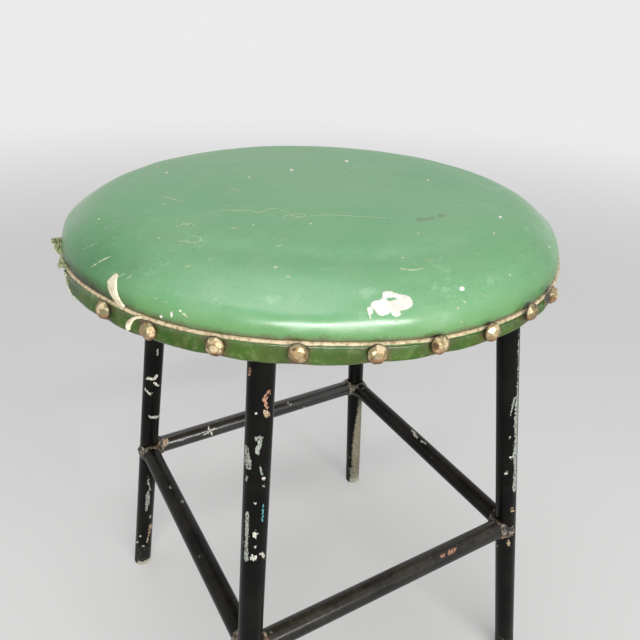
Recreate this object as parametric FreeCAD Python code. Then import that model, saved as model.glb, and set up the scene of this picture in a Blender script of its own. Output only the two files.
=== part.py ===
"""Round upholstered workshop stool on a welded frame of steel tube.

Four splayed tube legs and four tube stretchers are brazed and welded to a flat ring. The ring is
screwed under a plywood seat board. The board carries a crowned pad in a vinyl cover, with a piped
edge and a side band held by large domed nails.

Millimetres. +Z is up. The origin is on the floor, on the axis of the round seat. The stretchers run
along X and Y, and the legs stand on the diagonals.
"""
import FreeCAD, Part
import math
import os
from FreeCAD import Vector

# Seat board
board_radius = 189.5
board_thickness = 12.0
board_underside_height = 454.6

# Pad on the board
pad_height = 39.0
pad_corner_radius = 1.9
pad_side_radius = 18.5
pad_shoulder_radius = 63.5
pad_side_turn = 52.0
crease_step = 0.6

# Cover over the pad and the board's edge
cloth_gap = 0.1
cover_thickness = 1.2
hem_width = 11.0

# Piping between the cover and the side band
welt_cord_radius = 0.9
welt_cover_thickness = 0.7
welt_flange_thickness = 1.0
welt_flange_above_board_underside = 0.6

# Side band
band_height = 7.9
band_top_depth = 4.4
band_low_depth = 7.8
band_edge_radius = 2.2
band_face_swell = 0.5

# Places of the domed nails round the band. The first ones are set by hand, the others evenly.
# A few have dropped out, and their holes are left.
nail_count = 30
nail_first_azimuth = 200.2
nail_hand_gaps = [11.2, 13.4, 13.7, 13.2, 11.2, 10.9, 11.6, 10.3]
lost_nails = [9, 10, 27, 28, 29]

# Domed nails
nail_tilt = 8.0
nail_below_board_middle = 1.3
nail_head_radius = 6.2
nail_head_height = 4.2
nail_rim_height = 0.8
nail_shank_radius = 0.9
nail_shank_length = 19.0
nail_bore_clearance = 0.05
nail_seat_gap = 0.05
nail_ring_facets = 7
nail_crown_facet_share = 0.93
nail_ring_facet_share = 0.95
nail_ring_facet_angle = 42.0

# Tacks that hold the cover's turned-in edge under the board, one midway between each two nails
tack_from_board_edge = 5.5
tack_head_radius = 3.2
tack_head_thickness = 0.8
tack_shank_radius = 0.8
tack_shank_length = 9.0
tack_bore_clearance = 0.05

# Flat steel ring under the board
ring_width = 26.0
ring_thickness = 5.0
ring_to_hem_margin = 4.0
frame_offset_x = 8.8
frame_offset_y = -5.2

# Screws through the ring into the board
screw_count = 8
screw_phase = 22.5
screw_radius = 2.4
screw_head_radius = 4.6
screw_head_height = 2.8
screw_depth_in_board = 9.5
screw_hole_clearance = 0.4
screw_pilot_clearance = 0.05
screw_slot_width = 1.1
screw_slot_depth = 1.0

# Legs
leg_diameter = 19.05
leg_wall = 1.65
leg_spread = 69.2

# Stretchers
stretcher_diameter = 18.0
stretcher_wall = 1.65
stretcher_height = 184.0
joint_gap = 0.05

# Welds at the leg tops and brazing at the stretcher ends
top_weld_reach = 5.0
top_weld_drop = 6.0
weld_toe = 0.5
braze_build_up = 3.2
braze_reach = 5.5

# Feet
foot_length = 35.0
foot_spigot_length = 25.0
foot_spigot_clearance = 0.1
foot_edge_radius = 2.2

corners = {
    "front_left": (-1, -1),
    "front_right": (1, -1),
    "back_right": (1, 1),
    "back_left": (-1, 1),
}
stretcher_ends = {
    "front": ("front_left", "front_right"),
    "right": ("front_right", "back_right"),
    "back": ("back_right", "back_left"),
    "left": ("back_left", "front_left"),
}

# Worked out from the sizes above
up = Vector(0, 0, 1)
seat_axis = Vector(0, 0, 0)
frame_centre = Vector(frame_offset_x, frame_offset_y, 0)
board_top_height = board_underside_height + board_thickness
cover_outer = cloth_gap + cover_thickness
hem_inner_radius = board_radius - hem_width
ring_underside_height = board_underside_height - ring_thickness
ring_outer_radius = hem_inner_radius - ring_to_hem_margin - frame_centre.Length
ring_inner_radius = ring_outer_radius - ring_width
leg_circle_top = (ring_outer_radius + ring_inner_radius) / 2
leg_circle_floor = leg_circle_top + leg_spread
leg_radius = leg_diameter / 2
leg_bore_radius = leg_radius - leg_wall
stretcher_radius = stretcher_diameter / 2

welt_radius = welt_cord_radius + cloth_gap + welt_cover_thickness
welt_ring_radius = board_radius + cover_outer + cloth_gap + welt_radius
flange_inner_radius = board_radius + cover_outer + cloth_gap
flange_outer_radius = flange_inner_radius + welt_flange_thickness

corner_centre_radius = board_radius + cover_outer + crease_step
corner_centre_height = board_top_height + pad_corner_radius
pad_radius = corner_centre_radius + pad_corner_radius
crease_centre_distance = pad_corner_radius + cover_outer + cloth_gap + welt_radius
welt_height = corner_centre_height - math.sqrt(
    crease_centre_distance ** 2 - (welt_ring_radius - corner_centre_radius) ** 2
)

band_inner_radius = flange_outer_radius + cloth_gap
band_top_height = welt_height - welt_radius - cloth_gap
band_bottom_height = band_top_height - band_height
band_outer_radius = band_inner_radius + band_low_depth


def polar(radius, degrees, height=0.0):
    """A point on a circle about the Z axis."""
    turn = math.radians(degrees)
    return Vector(radius * math.cos(turn), radius * math.sin(turn), height)


def section_point(radius, height):
    """A point of a turned section, in the XZ plane."""
    return Vector(radius, 0, height)


def section_line(start, end):
    return Part.LineSegment(section_point(*start), section_point(*end)).toShape()


def section_arc(centre, radius, start_degrees, end_degrees):
    """An arc of a turned section, with angles measured up from the outward radius."""
    points = []
    for degrees in (start_degrees, (start_degrees + end_degrees) / 2, end_degrees):
        turn = math.radians(degrees)
        points.append(section_point(centre[0] + radius * math.cos(turn), centre[1] + radius * math.sin(turn)))
    return Part.Arc(*points).toShape()


def turned(edges):
    """A full turn about the Z axis of the closed section that the edges make."""
    face = Part.Face(Part.Wire(edges))
    return face.revolve(seat_axis, up, 360)


def tube(outer_radius, inner_radius, base, height, direction=up):
    outer = Part.makeCylinder(outer_radius, height, base, direction)
    inner = Part.makeCylinder(inner_radius, height, base, direction)
    return outer.cut(inner)


def save(name, shape):
    shape.exportStep("parts/" + name + ".step")


def crown_arcs():
    """Centres and radii of the pad's three tangent arcs, from its widest point to its top."""
    side_centre = (pad_radius - pad_side_radius, corner_centre_height)
    turn = math.radians(pad_side_turn)
    step = pad_shoulder_radius - pad_side_radius
    shoulder_centre = (side_centre[0] - step * math.cos(turn), side_centre[1] - step * math.sin(turn))
    rise = board_top_height + pad_height - shoulder_centre[1]
    reach = shoulder_centre[0]
    crown_radius = (reach ** 2 + rise ** 2 - pad_shoulder_radius ** 2) / (2 * (rise - pad_shoulder_radius))
    crown_centre = (0.0, board_top_height + pad_height - crown_radius)
    crown_turn = math.degrees(math.acos(reach / (crown_radius - pad_shoulder_radius)))
    return side_centre, shoulder_centre, crown_centre, crown_radius, crown_turn


def crown_edges(offset):
    """The pad's outline raised by an offset, from the top on the axis down to under its corner."""
    side_centre, shoulder_centre, crown_centre, crown_radius, crown_turn = crown_arcs()
    corner_centre = (corner_centre_radius, corner_centre_height)
    return [
        section_arc(crown_centre, crown_radius + offset, 90, crown_turn),
        section_arc(shoulder_centre, pad_shoulder_radius + offset, crown_turn, pad_side_turn),
        section_arc(side_centre, pad_side_radius + offset, pad_side_turn, 0),
        section_arc(corner_centre, pad_corner_radius + offset, 0, -90),
    ]


def board_edge_edges(offset):
    """The board's edge line moved out by an offset, from under the pad round to the cover's hem."""
    outer_radius = board_radius + offset
    under_pad_height = board_top_height - offset
    return [
        section_line((corner_centre_radius, under_pad_height), (outer_radius, under_pad_height)),
        section_line((outer_radius, under_pad_height), (outer_radius, board_underside_height)),
        section_arc((board_radius, board_underside_height), offset, 0, -90),
        section_line(
            (board_radius, board_underside_height - offset),
            (hem_inner_radius, board_underside_height - offset),
        ),
    ]


def make_seat_pad():
    bottom_centre = (0.0, board_top_height)
    edges = crown_edges(0.0)
    edges.append(section_line((corner_centre_radius, board_top_height), bottom_centre))
    edges.append(section_line(bottom_centre, (0.0, board_top_height + pad_height)))
    return turned(edges)


def make_seat_cover():
    top_height = board_top_height + pad_height
    outer_edges = crown_edges(cover_outer) + board_edge_edges(cover_outer)
    inner_edges = crown_edges(cloth_gap) + board_edge_edges(cloth_gap)
    hem_end = section_line(
        (hem_inner_radius, board_underside_height - cover_outer),
        (hem_inner_radius, board_underside_height - cloth_gap),
    )
    axis_end = section_line((0.0, top_height + cloth_gap), (0.0, top_height + cover_outer))
    return turned(outer_edges + [hem_end] + inner_edges[::-1] + [axis_end])


def make_seat_board():
    return Part.makeCylinder(board_radius, board_thickness, Vector(0, 0, board_underside_height))


def make_welt_cord():
    return Part.makeTorus(welt_ring_radius, welt_cord_radius, Vector(0, 0, welt_height))


def make_welt_cover():
    """The piping's cover: a sleeve round the cord, with a flange down the board's edge.

    The sleeve's outline starts where the flange's inner face runs into it, and ends on the outer face.
    """
    centre = (welt_ring_radius, welt_height)
    flange_foot = board_underside_height + welt_flange_above_board_underside
    meeting_turn = math.degrees(math.acos((flange_outer_radius - welt_ring_radius) / welt_radius))
    meeting_height = welt_height - welt_radius * math.sin(math.radians(meeting_turn))
    arc_count = 8
    arc_turn = (180 + meeting_turn) / arc_count
    edges = [section_line((flange_inner_radius, flange_foot), (flange_inner_radius, welt_height))]
    for index in range(arc_count):
        start = 180 - index * arc_turn
        edges.append(section_arc(centre, welt_radius, start, start - arc_turn))
    edges.append(section_line((flange_outer_radius, meeting_height), (flange_outer_radius, flange_foot)))
    edges.append(section_line((flange_outer_radius, flange_foot), (flange_inner_radius, flange_foot)))
    core = Part.makeTorus(welt_ring_radius, welt_cord_radius + cloth_gap, Vector(0, 0, welt_height))
    return turned(edges).cut(core)


def make_side_band():
    """A strip folded double, slightly proud at its lower edge."""
    top_outer = (band_inner_radius + band_top_depth, band_top_height)
    low_outer = (band_outer_radius, band_bottom_height + band_edge_radius)
    low_inner = (band_outer_radius - band_edge_radius, band_bottom_height)
    middle = section_point(
        (top_outer[0] + low_outer[0]) / 2 + band_face_swell,
        (top_outer[1] + low_outer[1]) / 2 + band_face_swell,
    )
    face_arc = Part.Arc(section_point(*top_outer), middle, section_point(*low_outer)).toShape()
    edge_centre = (low_inner[0], low_outer[1])
    return turned([
        section_line((band_inner_radius, band_bottom_height), (band_inner_radius, band_top_height)),
        section_line((band_inner_radius, band_top_height), top_outer),
        face_arc,
        section_arc(edge_centre, band_edge_radius, 0, -90),
        section_line(low_inner, (band_inner_radius, band_bottom_height)),
    ])


def nail_azimuths():
    """The places of all nails, lost ones too, as angles that rise from the first."""
    azimuths = [nail_first_azimuth]
    for gap in nail_hand_gaps:
        azimuths.append(azimuths[-1] + gap)
    even_count = nail_count - len(azimuths)
    even_gap = (360.0 - sum(nail_hand_gaps)) / (even_count + 1)
    for _ in range(even_count):
        azimuths.append(azimuths[-1] + even_gap)
    return azimuths


def nail_seat_radius():
    """Distance from the seat's axis to the back of a nail's head, which rests on the band's low edge."""
    tilt = math.radians(nail_tilt)
    band_low_height = band_bottom_height + band_edge_radius
    board_middle_height = board_underside_height + board_thickness / 2
    axis_height = board_middle_height - nail_below_board_middle
    radius = band_outer_radius
    for _ in range(4):
        height = axis_height + (radius - board_radius) * math.tan(tilt)
        radius = band_outer_radius - (height - band_low_height) * math.tan(tilt) + nail_seat_gap
    height = axis_height + (radius - board_radius) * math.tan(tilt)
    return radius, height


def make_nail():
    """One nail along +X from the back of its head, with a hammered head."""
    cap_height = nail_head_height - nail_rim_height
    cap_radius = (nail_head_radius ** 2 + cap_height ** 2) / (2 * cap_height)
    ball_centre = Vector(nail_head_height - cap_radius, 0, 0)
    ball = Part.makeSphere(cap_radius, ball_centre)
    rim = Part.makeCylinder(nail_head_radius, nail_head_height, Vector(0, 0, 0), Vector(1, 0, 0))
    head = rim.common(ball)
    big = 4 * nail_head_radius
    crown_plane = nail_head_height * nail_crown_facet_share
    crown_cut = Part.makeBox(big, big, big, Vector(crown_plane, -big / 2, -big / 2))
    head = head.cut(crown_cut)
    for index in range(nail_ring_facets):
        ring_cut = Part.makeBox(big, big, big, Vector(cap_radius * nail_ring_facet_share, -big / 2, -big / 2))
        ring_cut.rotate(Vector(0, 0, 0), Vector(0, 1, 0), -nail_ring_facet_angle)
        ring_cut.rotate(Vector(0, 0, 0), Vector(1, 0, 0), index * 360.0 / nail_ring_facets)
        ring_cut.translate(ball_centre)
        head = head.cut(ring_cut)
    shank = Part.makeCylinder(nail_shank_radius, nail_shank_length, Vector(0, 0, 0), Vector(-1, 0, 0))
    return head.fuse(shank)


def placed_nail(shape, azimuth):
    """A copy of a shape drawn along +X, tilted, moved to the nail's seat and turned to its azimuth."""
    radius, height = nail_seat_radius()
    copy = shape.copy()
    copy.rotate(Vector(0, 0, 0), Vector(0, 1, 0), -nail_tilt)
    copy.translate(Vector(radius, 0, height))
    copy.rotate(seat_axis, up, azimuth)
    return copy


def make_nails():
    nail = make_nail()
    nails = []
    for index, azimuth in enumerate(nail_azimuths()):
        if index not in lost_nails:
            nails.append(placed_nail(nail, azimuth))
    return nails


def make_nail_bores():
    bore = Part.makeCylinder(
        nail_shank_radius + nail_bore_clearance,
        nail_shank_length + 2 * nail_bore_clearance + nail_seat_gap,
        Vector(nail_seat_gap, 0, 0),
        Vector(-1, 0, 0),
    )
    return [placed_nail(bore, azimuth) for azimuth in nail_azimuths()]


def tack_places():
    radius = board_radius - tack_from_board_edge
    height = board_underside_height - cover_outer
    azimuths = nail_azimuths()
    places = []
    for index in range(nail_count):
        following = azimuths[(index + 1) % nail_count]
        if index == nail_count - 1:
            following += 360
        places.append(polar(radius, (azimuths[index] + following) / 2, height))
    return places


def make_tacks():
    tacks = []
    for place in tack_places():
        head = Part.makeCylinder(tack_head_radius, tack_head_thickness, place, -up)
        shank = Part.makeCylinder(tack_shank_radius, tack_shank_length, place, up)
        tacks.append(head.fuse(shank))
    return tacks


def make_tack_bores():
    radius = tack_shank_radius + tack_bore_clearance
    length = tack_shank_length + tack_bore_clearance
    return [Part.makeCylinder(radius, length, place, up) for place in tack_places()]


def screw_places():
    step = 360.0 / screw_count
    places = []
    for index in range(screw_count):
        places.append(frame_centre + polar(leg_circle_top, screw_phase + index * step, ring_underside_height))
    return places


def make_ring_screws():
    screws = []
    slot_length = 2 * screw_head_radius
    for place in screw_places():
        head = Part.makeCylinder(screw_head_radius, screw_head_height, place, -up)
        crown = Part.makeSphere(2 * screw_head_radius, place + up * (2 * screw_head_radius - screw_head_height))
        shank = Part.makeCylinder(screw_radius, ring_thickness + screw_depth_in_board, place, up)
        slot_corner = place - Vector(slot_length / 2, screw_slot_width / 2, screw_head_height)
        slot = Part.makeBox(slot_length, screw_slot_width, screw_slot_depth, slot_corner)
        screws.append(head.common(crown).cut(slot).fuse(shank))
    return screws


def make_pilot_bores():
    radius = screw_radius + screw_pilot_clearance
    length = ring_thickness + screw_depth_in_board + screw_pilot_clearance
    return [Part.makeCylinder(radius, length, place, up) for place in screw_places()]


def make_seat_ring():
    base = frame_centre + Vector(0, 0, ring_underside_height)
    ring = tube(ring_outer_radius, ring_inner_radius, base, ring_thickness)
    hole_radius = screw_radius + screw_hole_clearance
    holes = [Part.makeCylinder(hole_radius, ring_thickness, place, up) for place in screw_places()]
    return ring.cut(holes)


def leg_point(corner, height):
    """The point of a leg's axis at a height."""
    share = height / ring_underside_height
    radius = leg_circle_floor + (leg_circle_top - leg_circle_floor) * share
    step_x, step_y = corners[corner]
    return frame_centre + Vector(step_x, step_y, 0) * (radius / math.sqrt(2)) + Vector(0, 0, height)


def leg_direction(corner):
    direction = leg_point(corner, ring_underside_height) - leg_point(corner, 0)
    return direction.normalize()


def leg_bar(corner, radius, start, extra_top=0.0):
    """A round bar on a leg's axis, from a distance up the axis to the ring's underside or beyond."""
    direction = leg_direction(corner)
    full_length = (leg_point(corner, ring_underside_height) - leg_point(corner, 0)).Length
    base = leg_point(corner, 0) + direction * start
    return Part.makeCylinder(radius, full_length - start + extra_top, base, direction)


def slab(low_height, high_height):
    """All the space round the stool between two heights."""
    half = 2 * leg_circle_floor
    return Part.makeBox(2 * half, 2 * half, high_height - low_height, Vector(-half, -half, low_height))


def make_leg(corner):
    outer = leg_bar(corner, leg_radius, foot_length, leg_diameter)
    bore = leg_bar(corner, leg_bore_radius, foot_length, leg_diameter)
    return outer.cut(bore).common(slab(0, ring_underside_height))


def make_foot(corner):
    """A plug with the tube's own diameter below, a spigot in the bore and a flat face on the floor."""
    direction = leg_direction(corner)
    below = leg_point(corner, 0) - direction * leg_diameter
    body = Part.makeCylinder(leg_radius, foot_length + leg_diameter, below, direction)
    body = body.common(slab(0, ring_underside_height))
    sole_edges = []
    for edge in body.Edges:
        if edge.BoundBox.ZMax < foot_edge_radius / 2:
            sole_edges.append(edge)
    body = body.makeFillet(foot_edge_radius, sole_edges)
    shoulder = leg_point(corner, 0) + direction * foot_length
    spigot_radius = leg_bore_radius - foot_spigot_clearance
    spigot = Part.makeCylinder(spigot_radius, foot_spigot_length, shoulder, direction)
    return body.fuse(spigot)


def make_top_weld(corner):
    """A bead round the top of a leg, under the ring."""
    direction = leg_direction(corner)
    top = leg_point(corner, ring_underside_height)
    low_radius = leg_radius + weld_toe
    slope = (top_weld_reach - weld_toe) / top_weld_drop
    length = top_weld_drop + leg_diameter
    cone = Part.makeCone(low_radius, low_radius + slope * length, length, top - direction * top_weld_drop, direction)
    bead = cone.common(slab(0, ring_underside_height))
    return bead.cut(leg_bar(corner, leg_radius, 0, leg_diameter))


def stretcher_axis(side):
    first, second = stretcher_ends[side]
    start = leg_point(first, stretcher_height)
    end = leg_point(second, stretcher_height)
    return start, (end - start).normalize(), (end - start).Length


def side_wedge(side):
    """The quarter of the frame that a stretcher lies in, bounded by the two diagonals."""
    start, direction, length = stretcher_axis(side)
    middle = frame_centre
    first = middle + (Vector(start.x, start.y, 0) - middle) * 2
    end = start + direction * length
    second = middle + (Vector(end.x, end.y, 0) - middle) * 2
    outline = Part.makePolygon([middle, first, second, middle])
    return Part.Face(outline).extrude(up * ring_underside_height)


def make_stretcher(side):
    """A tube with both ends coped to the legs and mitred against the next stretchers."""
    start, direction, length = stretcher_axis(side)
    bar = Part.makeCylinder(stretcher_radius, length, start, direction).common(side_wedge(side))
    for corner in stretcher_ends[side]:
        bar = bar.cut(leg_bar(corner, leg_radius + joint_gap, 0))
    bore = Part.makeCylinder(stretcher_radius - stretcher_wall, length, start, direction)
    return bar.cut(bore)


def make_braze_half(corner, side):
    """The bead round one stretcher end, up to the diagonal that it shares with the next one."""
    start, direction, length = stretcher_axis(side)
    if corner == stretcher_ends[side][1]:
        start = start + direction * length
        direction = direction * -1
    high_radius = stretcher_radius + braze_build_up
    low_radius = stretcher_radius + weld_toe
    collar = Part.makeCone(high_radius, low_radius, leg_radius + braze_reach, start, direction)
    collar = collar.common(side_wedge(side))
    collar = collar.cut(Part.makeCylinder(stretcher_radius, length / 2, start, direction))
    return collar.cut(leg_bar(corner, leg_radius, 0))


def make_braze(corner):
    """The bead round both stretcher ends at one leg."""
    halves = []
    for side, ends in stretcher_ends.items():
        if corner in ends:
            halves.append(make_braze_half(corner, side))
    return halves[0].fuse(halves[1]).removeSplitter()


def make_seat():
    nail_bores = make_nail_bores()
    tack_bores = make_tack_bores()
    pilot_bores = make_pilot_bores()
    save("seat_board", make_seat_board().cut(nail_bores + tack_bores + pilot_bores))
    save("seat_pad", make_seat_pad())
    save("seat_cover", make_seat_cover().cut(nail_bores + tack_bores))
    save("welt_cord", make_welt_cord())
    save("welt_cover", make_welt_cover().cut(nail_bores))
    save("side_band", make_side_band().cut(nail_bores))
    save("dome_nails", Part.makeCompound(make_nails()))
    save("cover_tacks", Part.makeCompound(make_tacks()))


def make_frame():
    save("seat_ring", make_seat_ring())
    save("ring_screws", Part.makeCompound(make_ring_screws()))
    for corner in corners:
        save("leg_" + corner, make_leg(corner))
        save("foot_" + corner, make_foot(corner))
        save("top_weld_" + corner, make_top_weld(corner))
        save("stretcher_braze_" + corner, make_braze(corner))
    for side in stretcher_ends:
        save("stretcher_" + side, make_stretcher(side))


os.makedirs("parts", exist_ok=True)
make_seat()
make_frame()
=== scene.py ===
"""Looks of a round upholstered workshop stool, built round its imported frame."""
import math
import random
from math import cos, pi, radians, sin

import bpy
import numpy as np
from mathutils import Matrix, Vector, geometry, noise
from mathutils.bvhtree import BVHTree


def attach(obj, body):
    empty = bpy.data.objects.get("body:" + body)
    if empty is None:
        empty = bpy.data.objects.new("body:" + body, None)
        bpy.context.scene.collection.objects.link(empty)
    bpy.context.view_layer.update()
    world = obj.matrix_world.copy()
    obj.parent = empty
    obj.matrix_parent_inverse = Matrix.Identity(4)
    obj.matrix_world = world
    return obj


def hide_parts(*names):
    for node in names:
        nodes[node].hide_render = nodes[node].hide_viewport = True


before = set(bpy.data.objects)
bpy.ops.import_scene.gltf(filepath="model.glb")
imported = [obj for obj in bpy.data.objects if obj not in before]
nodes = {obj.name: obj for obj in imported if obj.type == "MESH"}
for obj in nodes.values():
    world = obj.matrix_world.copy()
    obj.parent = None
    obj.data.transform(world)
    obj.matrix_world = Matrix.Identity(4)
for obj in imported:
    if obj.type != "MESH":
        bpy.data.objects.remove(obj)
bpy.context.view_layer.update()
scene = bpy.context.scene
random.seed(11)

MM = 0.001

# Sizes in millimetres, the same as the frame's own
board_radius = 189.5
board_underside = 454.6
board_top = 466.6
pad_height = 39.0
corner_radius = 1.9
side_radius = 18.5
shoulder_radius = 63.5
side_turn = 52.0
crease_step = 0.6
cover_outer = 1.3
hem_inner_radius = 178.5
hem_thickness = 1.2
welt_ring_radius = 192.6
welt_height = 463.65
welt_radius = 1.7
band_inner_radius = 191.98
band_top = 461.85
band_height = 7.9
band_top_depth = 4.4
band_low_depth = 7.8
band_edge_radius = 2.2
nail_count = 30
nail_first_azimuth = 200.2
nail_hand_gaps = [11.2, 13.4, 13.7, 13.2, 11.2, 10.9, 11.6, 10.3]
lost_nails = [9, 10, 27, 28, 29]
# How far each seen nail sits from its even place: degrees round the seat and millimetres up
nail_shifts = [
    (0.5, 1.2), (0.45, -0.6), (0.05, 0.0), (0.1, 0.9), (-0.27, -0.5), (-0.36, 0.5), (0.1, -0.4), (0.0, 1.3),
    (-0.5, 1.3),
]
nail_tilt = 8.0
nail_head_radius = 6.2
nail_head_height = 4.2
leg_radius = 9.525
frame_centre = Vector((8.8, -5.2, 0))
leg_circle_floor = 220.48
leg_circle_top = 151.28
leg_top_height = 449.6

# How far the sewn edge wanders up and down round the seat: azimuth and millimetres
edge_lifts = [
    (-180, -0.4), (-170, 1.4), (-162, 2.3), (-152, 0.9), (-140, 0.4), (-128, 1.1), (-118, 1.3), (-110, 0.2),
    (-100, -1.9), (-90, -2.5), (-80, -3.1), (-70, -3.9), (-56, -3.4), (-30, -1.4), (10, 0.3), (60, -0.4),
    (120, 0.4),
]
# Where the cushion's side is painted darker, mostly as painted shade with some dirt, and where it is dull:
# azimuth, half width in degrees and strength
shade_and_soil_places = [(-170.0, 20.0, 0.85), (-66.0, 22.0, 0.45)]
dull_places = [(-172.0, 24.0, 0.9), (-62.0, 22.0, 0.9)]
# Where the band is torn away: first azimuth, last azimuth at its top and how much later that is at its bottom
torn_ranges = [(158.0, 180.4, 8.0), (299.6, 328.0, 0.0)]

# Camera, read off the photograph
camera_place = (-246.6, -432.7, 641.8)
camera_azimuth = 30.70
camera_pitch = 27.99
camera_roll = 1.96
focal_px = 628.6
image_px = 640
sensor_mm = 36.0
image_middle = image_px / 2


# The camera and what a pixel of the photograph looks at

def camera_axes():
    """Right, up and forward of the camera."""
    azimuth, pitch, roll = (radians(turn) for turn in (camera_azimuth, camera_pitch, camera_roll))
    forward = Vector((sin(azimuth) * cos(pitch), cos(azimuth) * cos(pitch), -sin(pitch)))
    level_right = Vector((cos(azimuth), -sin(azimuth), 0))
    level_up = level_right.cross(forward)
    right = level_right * cos(roll) + level_up * sin(roll)
    up = level_up * cos(roll) - level_right * sin(roll)
    return right, up, forward


eye = Vector(camera_place) * MM
eye_right, eye_up, eye_forward = camera_axes()


def make_camera():
    data = bpy.data.cameras.new("camera")
    set_all(data, sensor_width=sensor_mm, lens=focal_px / image_px * sensor_mm, clip_start=0.01)
    turn = Matrix((eye_right, eye_up, -eye_forward)).transposed()
    scene.camera = linked("camera", data)
    scene.camera.matrix_world = Matrix.Translation(eye) @ turn.to_4x4()


def pixel_ray(x, y):
    direction = eye_forward * focal_px + eye_right * (x - image_middle) - eye_up * (y - image_middle)
    return direction.normalized()


def pixel_of(point):
    """Where a point in metres lands in the photograph."""
    away = point - eye
    depth = away.dot(eye_forward)
    return (
        image_middle + focal_px * away.dot(eye_right) / depth,
        image_middle - focal_px * away.dot(eye_up) / depth,
    )


def tree_of(*objects):
    """One search tree over the final shapes of some objects."""
    graph = bpy.context.evaluated_depsgraph_get()
    points = []
    faces = []
    for piece in objects:
        mesh = piece.evaluated_get(graph).to_mesh()
        start = len(points)
        points += [vertex.co.copy() for vertex in mesh.vertices]
        faces += [[start + index for index in face.vertices] for face in mesh.polygons]
    return BVHTree.FromPolygons(points, faces)


def seen_at(tree, x, y):
    """The place and normal that a pixel sees on a tree, or None."""
    place, normal, _, _ = tree.ray_cast(eye, pixel_ray(x, y))
    if place is None:
        return None
    return place, -normal if normal.dot(eye - place) < 0 else normal


def first_seen(tree, x, y, step, tries):
    """What is seen at the first pixel that meets a tree, going right from a pixel, or None."""
    for index in range(tries):
        found = seen_at(tree, x + index * step, y)
        if found:
            return found
    return None


# Objects and meshes

def set_all(target, **values):
    for name, value in values.items():
        setattr(target, name, value)


def linked(name, data):
    """A new object in the scene."""
    made = bpy.data.objects.new(name, data)
    scene.collection.objects.link(made)
    return made


def new_piece(name, points, faces, material, smooth=True):
    mesh = bpy.data.meshes.new(name)
    mesh.from_pydata([tuple(point) for point in points], [], faces)
    mesh.materials.append(material)
    for face in mesh.polygons:
        face.use_smooth = smooth
    return linked(name, mesh)


def add_values(piece, **lists):
    """Numbers for each vertex, for the material to read."""
    for name, values in lists.items():
        attribute = piece.data.attributes.new(name, "FLOAT", "POINT")
        attribute.data.foreach_set("value", np.asarray(values, np.float32))


def polar(radius, degrees, height):
    turn = radians(degrees)
    return Vector((radius * cos(turn), radius * sin(turn), height))


def azimuth_of(x, y):
    return math.degrees(math.atan2(y, x))


def turn_between(first, second):
    """Angle from the second azimuth to the first, from -180 to 180 degrees."""
    return (first - second + 180) % 360 - 180


def nearest(degrees, azimuths):
    """Signed angle to the nearest of some azimuths."""
    return min((turn_between(degrees, azimuth) for azimuth in azimuths), key=abs)


def clamped(value):
    return min(1.0, max(0.0, value))


def bell(distance, width):
    return math.exp(-(distance / width) ** 2)


def soft_noise(place, size, seed=0.0):
    """Smooth noise from about -1 to 1, with lumps of a size in millimetres."""
    return noise.noise(Vector(place) / size + Vector((seed, seed * 0.7, -seed)))


def ring_faces(around, along, closed=False, start=0):
    """Quads of a lattice whose rows close around. Rows are joined along, and end to start where closed."""
    faces = []
    rows = along if closed else along - 1
    for row in range(rows):
        low = start + row * around
        high = start + ((row + 1) % along) * around
        for index in range(around):
            following = (index + 1) % around
            faces.append((low + index, low + following, high + following, high + index))
    return faces


def nail_places():
    """Azimuths of all the nail places, the first ones as they are seen and the rest even."""
    azimuths = [nail_first_azimuth]
    for gap in nail_hand_gaps:
        azimuths.append(azimuths[-1] + gap)
    left = nail_count - len(azimuths)
    even_gap = (nail_first_azimuth + 360.0 - azimuths[-1]) / (left + 1)
    for _ in range(left):
        azimuths.append(azimuths[-1] + even_gap)
    return azimuths


nail_azimuths = [azimuth for index, azimuth in enumerate(nail_places()) if index not in lost_nails]


def edge_lift(degrees):
    """The sewn edge's wander at an azimuth, in millimetres."""
    places, lifts = zip(*edge_lifts)
    spread = (-6, -3, 0, 3, 6)
    near = [np.interp(turn_between(degrees + step, 0), places, lifts, period=360) for step in spread]
    return float(sum(near)) / len(spread)


def torn_share(degrees, depth, seed):
    """1 where the band is torn away and 0 where it is whole. depth is 0 at its top and 1 at its bottom."""
    turn = degrees % 360
    ragged = 0.5 * soft_noise((seed * 3.0, turn * 9.0, 0.0), 6.0, seed)
    inward = max(min(turn - start, end + lean * depth - turn) for start, end, lean in torn_ranges) + ragged
    return clamped(inward / 0.6)


# Materials

class Value:
    """A number or colour that a material works out. Sums, differences and products add Math nodes."""

    def __init__(self, tree, socket):
        self.tree = tree
        self.socket = socket

    def __add__(self, other):
        return maths("ADD", self, other)

    def __sub__(self, other):
        return maths("SUBTRACT", self, other)

    def __rsub__(self, other):
        return maths("SUBTRACT", other, self)

    def __mul__(self, other):
        return maths("MULTIPLY", self, other)


def put(tree, socket, value):
    """Sets a socket, or links it where the value is worked out by nodes."""
    if isinstance(value, Value):
        tree.links.new(value.socket, socket)
    else:
        socket.default_value = value


def add(tree, kind, settings=None, **inputs):
    """A new node. Its inputs are given by name, or by number as i0 and i1."""
    made = tree.nodes.new("ShaderNode" + kind)
    for key, value in (settings or {}).items():
        setattr(made, key, value)
    for key, value in inputs.items():
        numbered = key[0] == "i" and key[1:].isdigit()
        put(tree, made.inputs[int(key[1:]) if numbered else key.replace("_", " ")], value)
    return made


def maths(operation, first, second):
    tree = first.tree if isinstance(first, Value) else second.tree
    made = add(tree, "Math", {"operation": operation}, i0=first, i1=second)
    return Value(tree, made.outputs[0])


def span(value, low, high):
    """0 below low and 1 above high, or the other way round where low is the higher."""
    limits = {"From_Min": low, "From_Max": high}
    made = add(value.tree, "MapRange", {"interpolation_type": "SMOOTHSTEP"}, Value=value, **limits)
    return Value(value.tree, made.outputs["Result"])


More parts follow.
